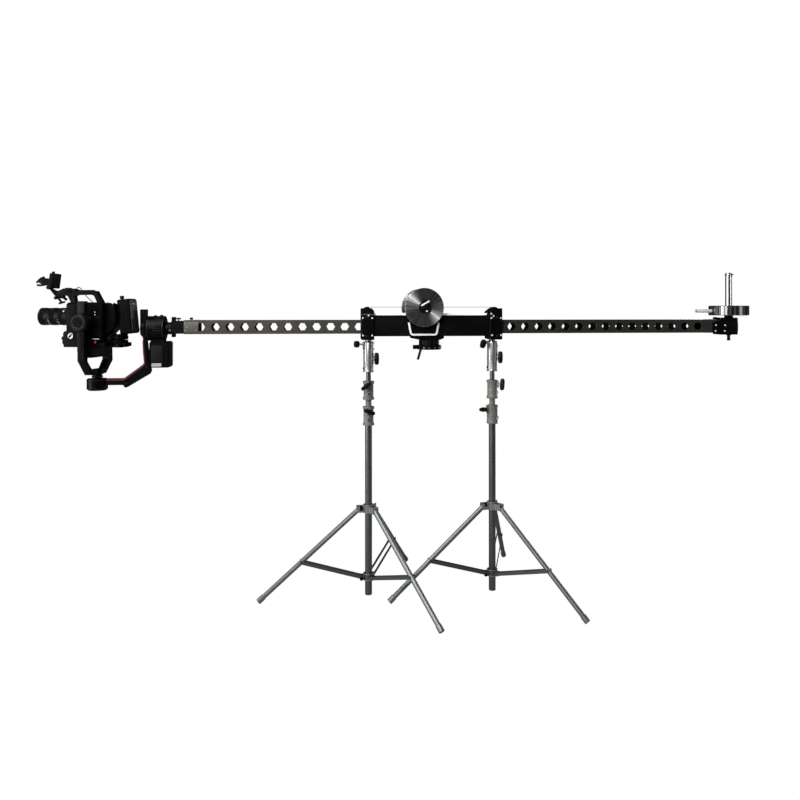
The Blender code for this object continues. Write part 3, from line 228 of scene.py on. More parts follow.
# The two faced weights need the place of their axis, in the object's frame
middle = rigPlace.translation
# Their last number is the share by which sectors about the axis are darkened: painted reflection bands.
looks["sideWeight"] = turnedMetal("faced_side_weight", "#929293", 0.4,
    (middle.x - 0.0441, middle.y, 1.4508), (0.0, 1.0, 0.0), 0.001, 0.96, 0.45)
looks["endWeight"] = turnedMetal("turned_end_weight", "#c3c4c4", 0.3, (middle.x + 1.5777, middle.y, 1.43),
    (0.0, 0.0, 1.0), 0.0012, 0.8, 0.85)
looks["postChrome"] = plainBright("chromed_post", "#cfd0d0", 0.12)

nodeLook = {
    "arm_tube": "armDark", "nose_adapter": "blackPowder", "roll_motor": "gimbalBlack",
    "gimbal_battery": "gimbalBlack", "tail_casting": "blackPowder", "weight_post": "postChrome",
    "end_weight": "endWeight", "sleeve_tube": "sleeveBlack", "trolley_track": "trackBright",
    "left_end_block": "blackPowder", "right_end_block": "blackPowder", "drive_belt": "beltRubber",
    "trolley_frame": "blackPowder", "front_side_weight": "sideWeight", "back_side_weight": "sideWeight",
    "axle_knob": "knobBlack", "head_plate": "blackPowder", "head_base": "blackPowder",
    "clamp_lever": "knobBlack", "gimbal_arm": "gimbalBlack", "pan_motor": "gimbalBlack",
    "fork": "gimbalBlack", "camera_cradle": "gimbalBlack", "camera_body": "cameraBlack",
    "camera_lens": "lensBlack",
    "top_handle": "cameraBlack", "monitor": "cameraBlack", "rear_battery": "cameraBlack",
}
for side in ("left", "right"):
    for look, names in {
            "zinc": "top_roller low_roller", "trackBright": "belt_pulley", "receiverGrey": "receiver",
            "castGrey": "riser column_clamp leg_collar", "tubeSteel": "column",
            "knobBlack": "riser_knob column_knob",
            "legSteel": "leg_1 leg_2 leg_3", "braceSteel": "brace_1 brace_2 brace_3"}.items():
        nodeLook.update({f"{side}_{name}": look for name in names.split()})
for name, look in nodeLook.items():
    slots = nodes[name].data.materials
    if not slots:
        slots.append(looks[look])
    for i in range(len(slots)):
        slots[i] = looks[look]
print("materials on", len(nodeLook), "nodes")

# Camera, floor and lights
photoLook = {"sensor": 36.0, "lens": 32.4, "shift": -0.1125, "place": (-0.483, -3.614, 1.4385),
    "turn": -5.16}
camera = bpy.data.objects.new("photo_camera", bpy.data.cameras.new("photo_camera"))
bpy.context.scene.collection.objects.link(camera)
camera.data.sensor_width = photoLook["sensor"]
camera.data.lens = photoLook["lens"]
camera.data.shift_y = photoLook["shift"]
camera.location = rigPlace @ Vector(photoLook["place"])
camera.rotation_euler = (math.radians(90.0), 0.0, math.radians(photoLook["turn"]))
bpy.context.scene.camera = camera

floorMesh = bpy.data.meshes.new("studio_floor")
floorMesh.from_pydata([(-12, -8, 0), (12, -8, 0), (12, 14, 0), (-12, 14, 0)], [], [(0, 1, 2, 3)])
floor = bpy.data.objects.new("studio_floor", floorMesh)
bpy.context.scene.collection.objects.link(floor)
floor.location = (0.0, 0.0, -0.0005)
paper = bpy.data.materials.new("studio_paper")
world = bpy.data.worlds.new("studio")
white = (1.0, 1.0, 1.0, 1.0)
# The camera sees plain white, and the lights see grey paper and a dim room
room = {"Color": srgb("#8c8c8c"), "Strength": 0.22}
card = {"Color": srgb("#a8a8a8")}
for holder, kind, grey, seen, output in (
        (paper, "ShaderNodeBsdfDiffuse", card, "ShaderNodeEmission", "Material"),
        (world, "ShaderNodeBackground", room, "ShaderNodeBackground", "World")):
    holder.use_nodes = True
    tree = holder.node_tree
    tree.nodes.clear()
    isCamera = addNode(tree, "ShaderNodeLightPath").outputs["Is Camera Ray"]
    plain = addNode(tree, kind, grey).outputs[0]
    bare = addNode(tree, seen, {"Color": white, "Strength": 1.0}).outputs[0]
    blend = addNode(tree, "ShaderNodeMixShader", {0: isCamera, 1: plain, 2: bare})
    addNode(tree, f"ShaderNodeOutput{output}", {"Surface": blend.outputs[0]})
floorMesh.materials.append(paper)
bpy.context.scene.world = world
bpy.context.scene.view_settings.view_transform = "Standard"

# Each light's place, target, size and watts
lamps = {
    "key_softbox": ((-2.4, -2.0, 4.3), (-0.1, 0.0, 1.3), (2.2, 1.6), 130.0),
    "left_softbox": ((-4.6, -1.5, 1.5), (-0.3, 0.0, 1.0), (2.6, 3.0), 120.0),
    "front_strip": ((-3.0, -4.2, 1.3), (0.1, 0.0, 1.1), (0.5, 2.8), 14.0),
    "disc_light": ((-1.55, -3.5, 2.95), (-0.04, 0.0, 1.45), (0.5, 0.4), 95.0),
    "right_softbox": ((3.4, 2.7, 1.5), (0.3, 0.0, 1.1), (0.9, 2.8), 45.0),
    "right_strip": ((4.3, -2.4, 1.5), (0.6, 0.0, 1.2), (0.4, 2.6), 14.0),
}
for name, (place, target, size, power) in lamps.items():
    data = bpy.data.lights.new(name, "AREA")
    data.shape = "RECTANGLE"
    data.size, data.size_y = size
    data.energy = power
    lamp = bpy.data.objects.new(name, data)
    bpy.context.scene.collection.objects.link(lamp)
    lamp.location = place
    lamp.rotation_euler = (Vector(target) - Vector(place)).to_track_quat("-Z", "Y").to_euler()
    lamp.visible_camera = False
print("studio ready")

# Shapes are pairs of points and faces


def joined(*shapes):
    points, faces = [], []
    for shapePoints, shapeFaces in shapes:
        start = len(points)
        points.extend(tuple(point) for point in shapePoints)
        faces.extend(tuple(i + start for i in face) for face in shapeFaces)
    return points, faces


def aim(at, direction=(0.0, 0.0, 1.0), turn=0.0):
    """Z goes along the direction, X stays level, and Y points up."""
    ahead = Vector(direction).normalized()
    level = Vector((0.0, 0.0, 1.0)).cross(ahead)
    level = level.normalized() if level.length > 1e-6 else Vector((1.0, 0.0, 0.0))
    basis = Matrix((level, ahead.cross(level), ahead)).transposed().to_4x4()
    return Matrix.Translation(at) @ basis @ Matrix.Rotation(math.radians(turn), 4, "Z")


def moved(shape, place):
    return [tuple(place @ Vector(point)) for point in shape[0]], shape[1]


def block(low, high):
    points = [(x, y, z) for x in (low[0], high[0]) for y in (low[1], high[1]) for z in (low[2], high[2])]
    return points, [(0, 1, 3, 2), (4, 6, 7, 5), (0, 4, 5, 1), (2, 3, 7, 6), (0, 2, 6, 4), (1, 5, 7, 3)]


def placed(shape, at, direction=(0.0, 0.0, 1.0), turn=0.0, lift=0.0):
    return moved(shape, aim(at, direction, turn) @ Matrix.Translation((0.0, 0.0, lift)))


def prism(outline, low, high):
    """An outline in X and Y, drawn out along Z."""
    count = len(outline)
    points = [(x, y, low) for x, y in outline] + [(x, y, high) for x, y in outline]
    faces = [tuple(range(count - 1, -1, -1)), tuple(range(count, 2 * count))]
    faces += [(i, (i + 1) % count, count + (i + 1) % count, count + i) for i in range(count)]
    return points, faces


def lathe(profile, steps=28):
    """Radius and height pairs turned about Z: x = r cos t, y = r sin t, z = h."""
    around = [2.0 * math.pi * i / steps for i in range(steps)]
    points, rows, faces = [], [], []
    for radius, height in profile:
        if radius < 1e-6:
            rows.append([len(points)] * steps)
            points.append((0.0, 0.0, height))
        else:
            rows.append(list(range(len(points), len(points) + steps)))
            points.extend(onRing(radius, t, height) for t in around)
    for first, second in zip(rows, rows[1:]):
        for i in range(steps):
            j = (i + 1) % steps
            corners = []
            for index in (first[i], first[j], second[j], second[i]):
                if index not in corners:
                    corners.append(index)
            if len(corners) > 2:
                faces.append(tuple(corners))
    return points, faces


def onRing(radius, t, z, x=0.0):
    """A spot at angle t on a ring about Z."""
    return x + radius * math.cos(t), radius * math.sin(t), z


def button(radius, high, face, shoulder, steps=28, low=0.0):
    """A turned button: a chamfer joins its narrower face to its side."""
    return turned([(face, high), (radius, shoulder), (radius, low)], steps)


def rod(radius, high, low, steps):
    return turned([(radius, high), (radius, low)], steps)


def band(inner, outer, low, high, chamfer, rise, steps):
    """A ring with a chamfer at both ends of its outside."""
    return hollow([(inner, low), (outer - chamfer, low), (outer, low + rise), (outer, high - rise),
        (outer - chamfer, high), (inner, high)], steps)


def turned(profile, steps):
    """A solid turned about Z: its profile is closed to the axis."""
    return lathe([(0.0, profile[0][1]), *profile, (0.0, profile[-1][1])], steps)


def hollow(profile, steps):
    """A ring turned about Z: its profile closes on itself."""
    return lathe([*profile, profile[0]], steps)


def toothed(radius, depth, teeth, low, high):
    """A ribbed ring: its radius rises and falls with the angle, r = R - d for every other step."""
    outline = []
    for i in range(teeth * 4):
        reach = radius if i % 4 < 2 else radius - depth
        t = 2.0 * math.pi * i / (teeth * 4)
        outline.append(onRing(reach, t, 0.0)[:2])
    return prism(outline, low, high)


def sweep(path, radius, sides=10, closed=False):
    """A round bar along a path; each ring is square to the path there."""
    spots = [Vector(point) for point in path]
    count = len(spots)
    rings = []
    up = None
    for i, spot in enumerate(spots):
        if closed:
            ahead = (spots[(i + 1) % count] - spots[i - 1]).normalized()
        else:
            ahead = (spots[min(i + 1, count - 1)] - spots[max(i - 1, 0)]).normalized()
        if up is None:
            up = ahead.orthogonal().normalized()
        up = (up - ahead * up.dot(ahead)).normalized()
        side = ahead.cross(up)
        turns = [2 * math.pi * k / sides for k in range(sides)]
        rings.append([spot + radius * (math.cos(t) * up + math.sin(t) * side) for t in turns])
    points = [tuple(point) for ring in rings for point in ring]
    faces = []
    for i in range(count if closed else count - 1):
        j = (i + 1) % count
        for k in range(sides):
            m = (k + 1) % sides
            faces.append((i * sides + k, i * sides + m, j * sides + m, j * sides + k))
    if not closed:
        faces.append(tuple(range(sides - 1, -1, -1)))
        faces.append(tuple((count - 1) * sides + k for k in range(sides)))
    return points, faces


def sidePrism(outline, low, high):
    """An outline in X and Z, drawn out along Y."""
    points, faces = prism(outline, low, high)
    return [(x, y, z) for x, z, y in points], faces


def span(sign, first, second):
    """Low and high ends of a stretch on one side of the middle."""
    return tuple(sorted((sign * first, sign * second)))


def ribbon(path, across, thick):
    """A flat bar along a path in X and Z, given thickness in Y."""
    half = across / 2
    count = len(path)
    left, right = [], []
    for i, (x, z) in enumerate(path):
        ahead = Vector(path[min(i + 1, count - 1)]) - Vector(path[max(i - 1, 0)])
        ahead.normalize()
        left.append((x - ahead.y * half, z + ahead.x * half))
        right.append((x + ahead.y * half, z - ahead.x * half))
    return sidePrism(left + right[::-1], *thick)


def capScrew(radius, height):
    """A cap screw with a socket sunk in its head."""
    socket = radius * 0.52
    return turned([(socket, height * 0.45), (socket, height), (radius * 0.86, height),
        (radius, height * 0.8), (radius, 0.0)], 14)


def faceScrews(radius, height, out, spots, signs=(-1.0, 1.0)):
    """Cap screws at spots in X and Z, on faces that look along Y."""
    return [placed(capScrew(radius, height), (x, sign * out, z), (0.0, sign, 0.0)) for x, z in spots
        for sign in signs]


def rounded(points, radius, steps=5):
    """Corners of a path in a plane, each replaced by an arc."""
    out = [points[0]]
    for before, corner, after in zip(points, points[1:], points[2:]):
        first = (Vector(before) - Vector(corner)).normalized() * radius
        second = (Vector(after) - Vector(corner)).normalized() * radius
        for i in range(steps + 1):
            t = i / steps
            spot = Vector(corner) + first * (1 - t) ** 2 + second * t ** 2
            out.append(tuple(spot))
    out.append(points[-1])
    return out


black = "black_coated_aluminium"
anodised = "dark_anodised_aluminium"
steel = "satin_chromed_steel"
polished = "turned_steel"
casting = "grey_casting"
plastic = "black_moulded_plastic"
bright = "bright_track_aluminium"
magnesium = "gimbal_black_magnesium"
cameraSlot = "camera_black_paint"
lensSlot = "lens_black_anodised"
# Looks that take each slot unless a piece names another
usualSlots = {
    black: ("blackPowder",), anodised: ("greyLabel", "plateDark"), steel: ("receiverGrey", "tubeSteel"),
    polished: ("zinc", "rimBright", "chrome"), casting: ("castGrey",),
    plastic: ("knobBlack", "blackScrew"),
    bright: ("sleeveBlack",), magnesium: ("gimbalBlack", "gimbalWarm", "redLine"),
    lensSlot: ("lensBlack", "lensGlass"),
    cameraSlot: ("cameraBlack", "lensRubber", "screenGlass", "paleMark", "sideGrey", "redButton"),
}
homes = {"fork": "fork", "camera": "fork", "monitor": "monitor"}
nearFar, frontBack, leftRight = (((first, -1.0), (second, 1.0))
    for first, second in (("near", "far"), ("front", "back"), ("left", "right")))


def leaning(at, degrees):
    return frames["fork"] @ Matrix.Translation(at) @ Matrix.Rotation(math.radians(degrees), 4, "Y")


def makePiece(name, shape, look, body, slot="", where="", bevel=0.0, smooth=32.0):
    """Shape is one shape or a list of them, and a body has its usual frame. The slot, given or the look's
    usual one, is worked out but not used.
    """
    shape = joined(*shape) if isinstance(shape, list) else shape
    where = where or homes.get(body, "rig")
    slot = slot or next(key for key, names in usualSlots.items() if look in names)
    mesh = bpy.data.meshes.new(name)
    mesh.from_pydata(shape[0], [], shape[1])
    build = bmesh.new()
    build.from_mesh(mesh)
    bmesh.ops.recalc_face_normals(build, faces=build.faces)
    if bevel:
        sharp = [edge for edge in build.edges
            if len(edge.link_faces) == 2 and edge.calc_face_angle(0.0) > 0.6]
        bmesh.ops.bevel(build, geom=sharp, offset=bevel, segments=3, profile=0.6, affect="EDGES",
            clamp_overlap=True)
    bmesh.ops.transform(build, matrix=frames[where], verts=build.verts)
    build.to_mesh(mesh)
    build.free()
    mesh.shade_smooth()
    mesh.set_sharp_from_angle(angle=math.radians(smooth))
    mesh.materials.append(looks[look])
    piece = bpy.data.objects.new(name, mesh)
    bpy.context.scene.collection.objects.link(piece)
    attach(piece, body)
    return piece


front = (0.0, -1.0, 0.0)
back = (0.0, 1.0, 0.0)
top = (0.0, 0.0, 1.0)

def cameraPart(name, shape, **settings):
    return makePiece(name, shape, "cameraBlack", "camera", **settings)


# Arm: end plates, screws, scale strips and end stops
armLook = {"middle": 1.355, "face": 0.0432, "top": 1.3892, "plate": (-1.2128, -1.1432),
    "plateHalf": 0.0265, "scales": ((-1.1981, -1.145), (1.4427, 1.5002)),
    "stops": ((-1.1848, 0.008), (1.504, 0.012))}
low = armLook["middle"] - armLook["plateHalf"]
high = armLook["middle"] + armLook["plateHalf"]
face = armLook["face"]
for name, sign in frontBack:
    inner, outer = span(sign, face, face + 0.0014)
    plate = block((armLook["plate"][0], inner, low), (armLook["plate"][1], outer, high))
    makePiece(f"arm_end_plate_{name}", plate, "plateDark", "arm", bevel=0.0005)
    spots = [(-1.2056, 1.371), (-1.1967, 1.355), (-1.2056, 1.339), (-1.1557, 1.37), (-1.1557, 1.34)]
    screws = faceScrews(0.0036, 0.0022, face + 0.0012, spots, [sign])
    makePiece(f"arm_plate_screws_{name}", screws, "zinc", "arm")
    outline = [(1.466, 1.327), (1.466, 1.374), (1.506, 1.386), (1.59, 1.386), (1.603, 1.373),
        (1.603, 1.33), (1.591, 1.3175), (1.475, 1.3175)]
    cheek = sidePrism(outline, *span(sign, face, face + 0.004))
    makePiece(f"tail_cheek_{name}", cheek, "blackPowder", "arm", bevel=0.001)
    spots = [(1.4826, 1.36), (1.5314, 1.36), (1.48, 1.33), (1.5298, 1.33)]
    screws = faceScrews(0.0042, 0.0026, face + 0.0038, spots, [sign])
    makePiece(f"tail_cheek_screws_{name}", screws, "rimBright", "arm")
for number, (start, end) in enumerate(armLook["scales"], 1):
    strip = block((start, -0.011, armLook["top"] - 0.0002), (end, 0.011, armLook["top"] + 0.0016))
    makePiece(f"arm_scale_{number}", strip, "greyLabel", "arm", bevel=0.0004)
    marks = [block((start + 0.004 + i * 0.005, -0.01, armLook["top"] + 0.0014),
        (start + 0.0046 + i * 0.005, -0.01 + (0.012 if i % 5 == 0 else 0.007), armLook["top"] + 0.0018))
        for i in range(int((end - start - 0.006) / 0.005))]
    makePiece(f"arm_scale_marks_{number}", marks, "knobBlack", "arm")
for number, (x, radius) in enumerate(armLook["stops"], 1):
    knob = placed(turned([(radius * 0.7, 0.0115), (radius, 0.0085), (radius, 0.003),
        (radius * 0.75, 0.0018), (radius * 0.75, 0.0)], 20), (x, 0.0, armLook["top"] + 0.0012))
    makePiece(f"arm_stop_{number}", knob, "knobBlack", "arm")

# Nose of the arm: flange screws, clamp screw and the thumb screw on top
noseLook = {"top": 1.3855, "face": 0.041, "thumb": -1.2472, "side": (-1.282, 1.3398)}
thumb = joined(placed(rod(0.0032, 0.009, 0.0, 12), (noseLook["thumb"], 0.0, noseLook["top"] - 0.0004)),
    placed(rod(0.006, 0.002, 0.0, 16), (noseLook["thumb"], 0.0, noseLook["top"] + 0.002)))
makePiece("nose_thumb_shaft", thumb, "zinc", "arm")
wing = prism([(-0.013, 0.0), (-0.0105, 0.005), (-0.004, 0.0062), (0.004, 0.0062), (0.0105, 0.005),
    (0.013, 0.0), (0.0105, -0.002), (-0.0105, -0.002)], -0.0032, 0.0032)
makePiece("nose_thumb_wing", placed(wing, (noseLook["thumb"], 0.0, noseLook["top"] + 0.0088), front),
    "knobBlack", "arm", bevel=0.0012)
clampScrew = placed(capScrew(0.0062, 0.005), (noseLook["side"][0], -0.0275, noseLook["side"][1]), front)
makePiece("nose_clamp_screw", clampScrew, "chrome", "arm")
spots = [(x, z) for x in (-1.256, -1.227) for z in (1.335, 1.374)]
screws = faceScrews(0.0034, 0.002, noseLook["face"] - 0.0002, spots)
makePiece("nose_side_screws", screws, "blackScrew", "arm")
lobes = []
for up in (-1.0, 1.0):
    lobe = turned([(0.012, 0.014), (0.0135, 0.0125), (0.0135, 0.0015), (0.012, 0.0)], 24)
    lobes.append(placed(lobe, (-1.2765, 0.0, 1.355 + up * 0.0362), (1.0, 0.0, 0.0)))
    lobes.append(placed(capScrew(0.0045, 0.003), (-1.2627, 0.0, 1.355 + up * 0.0362), (1.0, 0.0, 0.0)))
makePiece("nose_flange_lobes", lobes, "blackPowder", "arm")

# Tail: nuts of the pin below, the post's collar and cross pin
tailLook = {"x": 1.5777, "pinLow": 1.2787}
nuts = joined(placed(button(0.0105, 0.006, 0.0085, 0.0045, 6), (tailLook["x"], 0.0, tailLook["pinLow"])),
    placed(button(0.0122, 0.0045, 0.011, 0.0035, 24), (tailLook["x"], 0.0, 1.3058)))
makePiece("tail_pin_nuts", nuts, "blackScrew", "arm")
collar = hollow([(0.016, 0.0115), (0.0172, 0.0115), (0.0178, 0.0105), (0.0178, 0.0015), (0.0172, 0.0),
    (0.016, 0.0)], 32)
makePiece("post_top_collar", placed(collar, (tailLook["x"], 0.0, 1.618)), "zinc", "arm")
crossPin = button(0.0034, 0.009, 0.0026, 0.0082, 14)
makePiece("post_cross_pin", placed(crossPin, (tailLook["x"] + 0.016, 0.0, 1.6238), (1.0, -0.25, 0.0)),
    "blackScrew", "arm")
# The grip is chrome; its near white look is a painted reflection.
grip = lathe([(0.0, 0.083), (0.0088, 0.083), (0.0088, 0.006), (0.0079, 0.0026), (0.0058, 0.0006),
    (0.0, 0.0)], 24)
makePiece("end_weight_grip", placed(grip, (1.3968, 0.0, 1.4333), (1.0, 0.0, 0.0)), "rimBright",
    "end_weight")
print("arm pieces made")

# Sleeve: screws and axle caps of the end blocks, a scribed line, the slanted cover and the edges
blockLook = {"face": 0.0651, "low": [(0.346, 1.3125), (0.3, 1.3125)],
    "left": [(0.346, 1.3985), (0.3, 1.3985), (0.3175, 1.4115)], "right": [(0.2975, 1.3985),
    (0.308, 1.4085), (0.2965, 1.42), (0.345, 1.3985)]}
for side, sign in leftRight:
    for name, turn in frontBack:
        spots = blockLook["low"] + blockLook[side]
        screws = faceScrews(0.0042, 0.0026, blockLook["face"], [(sign * x, z) for x, z in spots], [turn])
        makePiece(f"{side}_block_screws_{name}", screws, "rimBright", "sleeve")
        caps = [placed(button(0.007, 0.0016, 0.006, 0.0008, 20),
            (sign * 0.3275, turn * blockLook["face"], z), (0.0, turn, 0.0)) for z in (1.4013, 1.3087)]
        caps.append(placed(capScrew(0.005, 0.003), (sign * 0.3235, turn * 0.0221, 1.4485),
            (0.0, turn, 0.0)))
        makePiece(f"{side}_axle_caps_{name}", caps, "blackScrew", "sleeve")
scribe = sweep([(-0.356, -0.0662, 1.4168), (-0.29, -0.0662, 1.4168)], 0.0011, 8)
makePiece("left_block_scribe", scribe, "zinc", "sleeve")
coverEdge = [(0.2745, 1.4125), (0.289, 1.4125), (0.289, 1.4315), (0.3105, 1.448), (0.314, 1.448),
    (0.315, 1.4515), (0.3, 1.442), (0.2785, 1.4215)]
cover = [sidePrism(coverEdge, *span(sign, 0.0105, 0.047)) for sign in (-1.0, 1.0)]
makePiece("right_block_cover", cover, "blackPowder", "sleeve", bevel=0.0012)
rims = []
for z in (1.309, 1.411):
    for turn in (-1.0, 1.0):
        rims.append(sweep([(-0.289, turn * 0.0553, z), (0.289, turn * 0.0553, z)], 0.001, 6))
makePiece("sleeve_edge_lines", rims, "sleeveBlack", "sleeve")
headScrews = faceScrews(0.003, 0.002, 0.0489, [(x, 1.302) for x in (-0.07, -0.03, 0.015, 0.042)])
makePiece("head_plate_screws", headScrews, "blackScrew", "sleeve")

# Head base: ribs round its neck, screws in its flange, and the clamp's lever
jointTo = {joint["child"]: joint for joint in frame["joints"]}
leverLook = {"slope": 16.0, "radius": 0.0062}
headX = -0.0095
ribs = []
for i in range(16):
    t = 2.0 * math.pi * i / 16
    ribs.append(placed(block((-0.0042, -0.0012, 0.0), (0.0042, 0.0034, 0.0235)),
        onRing(0.048, t, 1.2632, headX), top, math.degrees(t) - 90.0))
makePiece("head_base_ribs", ribs, "gimbalWarm", "head_base", black, bevel=0.001)
screws = [placed(capScrew(0.0032, 0.0022), onRing(0.0612, t, 1.25, headX), onRing(1.0, t, 0.0))
    for t in (2.0 * math.pi * (i + 0.3) / 14 for i in range(14))]
makePiece("head_base_screws", screws, "zinc", "head_base")
lever = jointTo["clamp_lever"]
slope = math.radians(leverLook["slope"])
grip = sweep([(-step * math.sin(slope), -step * math.cos(slope), -0.0055)
    for step in (0.006, 0.03, 0.062)], leverLook["radius"], 16)
boss = button(0.0118, 0.0, 0.0105, -0.0014, 28, -0.011)
grip = makePiece("clamp_lever_grip", placed(joined(grip, boss), lever["pos_m"], front), "knobBlack",
    "clamp_lever", where="object", bevel=0.0008)
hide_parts("clamp_lever")

# Trolley: a bright rim round each cheek, and the hub and T-bar of the axle's knob
trolleyLook = {"x": -0.0441, "z": 1.4508, "narrow": 0.0675, "wide": 0.079, "low": 1.3118,
    "shoulder": 1.384}
inset = 0.0042
path = [(-trolleyLook["wide"] + inset, trolleyLook["shoulder"] - 0.008), (-trolleyLook["narrow"] + inset,
    trolleyLook["low"] + inset), (trolleyLook["narrow"] - inset, trolleyLook["low"] + inset),
    (trolleyLook["wide"] - inset, trolleyLook["shoulder"] - 0.008)]
path = [(x + trolleyLook["x"], z) for x, z in rounded(path, 0.012)]
for name, sign in frontBack:
    rim = ribbon(path, 0.0094, span(sign, 0.0672, 0.07))
    makePiece(f"trolley_rim_{name}", rim, "rimBright", "trolley", bevel=0.0009)
bar = joined(sweep([(trolleyLook["x"] - 0.018, -0.1165, trolleyLook["z"] + 0.008),
    (trolleyLook["x"] + 0.022, -0.1165, trolleyLook["z"] + 0.031)], 0.0042, 14),
    placed(button(0.0044, 0.006, 0.0034, 0.0045, 20, -0.01), (trolleyLook["x"] + 0.01, -0.113,
    trolleyLook["z"] - 0.018), front))
makePiece("axle_knob_bar", bar, "rimBright", "axle_knob", bevel=0.0006)
hub = placed(turned([(0.015, 0.011), (0.02, 0.0085), (0.0225, 0.004), (0.023, -0.003)], 40),
    (trolleyLook["x"] + 0.006, -0.105, trolleyLook["z"] + 0.005), front)
makePiece("axle_knob_hub", hub, "knobBlack", "axle_knob", bevel=0.0008)

# Clamp knobs: a two-winged grip on a turned shaft


def wingGrip(look):
    """Each section along the wings is a rounded box |y/w|^3 + |z/h|^3 = 1.
    With s = |x| / length: w = tip + (middle - tip)(1 - s)^1.5 and h = high(1 - 0.16 s^2),
    both times (1 - s^8)^(1/3), which rounds the tips."""
    steps, around = 22, 20
    points, faces = [], []
    for i in range(steps + 1):
        along = math.cos(math.pi * i / steps)
        s = abs(along)
        close = (1.0 - 0.999 * s ** 8) ** (1.0 / 3.0)
        half = (look["tip"] + (look["middle"] - look["tip"]) * (1.0 - s) ** 1.5) * close
        rise = look["high"] / 2 * (1.0 - 0.16 * s * s) * close
        for k in range(around):
            t = 2.0 * math.pi * k / around
            y = half * math.copysign(abs(math.cos(t)) ** (2.0 / 3.0), math.cos(t))
            z = rise * math.copysign(abs(math.sin(t)) ** (2.0 / 3.0), math.sin(t))
            points.append((along * look["length"], y, z + look["high"] / 2))
    for i in range(steps):
        for k in range(around):
            m = (k + 1) % around
            faces.append((i * around + k, i * around + m, (i + 1) * around + m, (i + 1) * around + k))
    faces.append(tuple(range(around)))
    faces.append(tuple(steps * around + k for k in range(around)))
    return points, faces


def wingShaft(look, start):
    """The steel shaft and the grip's round root."""
    root = look["root"]
    return joined(rod(look["shaft"], look["gap"], start, 16),
        turned([(root, 0.004), (root, 0.0), (root * 0.75, -0.004)], 20))


gripLook = {"length": 0.03, "tip": 0.0085, "middle": 0.012, "high": 0.0235, "root": 0.0088,
    "shaft": 0.004, "gap": 0.0, "reach": 0.031}
knobTurns = {"left_riser_knob": 38.0, "left_column_knob": -20.0, "right_riser_knob": 76.0,
    "right_column_knob": 8.0}
for body, turn in knobTurns.items():
    joint = jointTo[body]
    base = gripLook["reach"] - gripLook["high"]
    grip = makePiece(f"{body}_grip", placed(wingGrip(gripLook), joint["pos_m"], joint["axis"], turn,
        base), "knobBlack", body, where="object")
    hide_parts(body)
    shaft = wingShaft(gripLook, -base)
    makePiece(f"{body}_shaft", placed(shaft, joint["pos_m"], joint["axis"], turn, base), "zinc", body,
        where="object")
print("clamp knobs made")

# Receivers: a pinned spigot casting with a lip, a seam, lugs and two screws with black knobs
receiverLook = {"top": 1.2892, "shoulder": 1.2805, "step": 1.1791, "low": 1.1276, "radius": 0.0261,
    "neck": 0.0165, "lip": 0.028, "lipHigh": 0.005, "tube": 0.0127}


def receiverShape(look):
    r, low, step, lip = look["radius"], look["low"], look["step"], look["lip"]
    high = low + look["lipHigh"]
    profile = [(0.0, look["top"]), (look["neck"], look["top"]), (look["neck"], look["shoulder"] + 0.001),
        (look["neck"] + 0.001, look["shoulder"]), (r - 0.004, look["shoulder"]),
        (r - 0.001, look["shoulder"] - 0.0015), (r, look["shoulder"] - 0.004), (r, step + 0.0008),
        (r - 0.0012, step), (r - 0.0012, step - 0.0012), (r, step - 0.002), (r, high + 0.003),
        (r + 0.0005, high + 0.001), (lip - 0.0004, high), (lip, high - 0.0006), (lip, low + 0.0008),
        (lip - 0.0008, low), (look["tube"], low), (0.0, low)]
    return lathe(profile, 48)


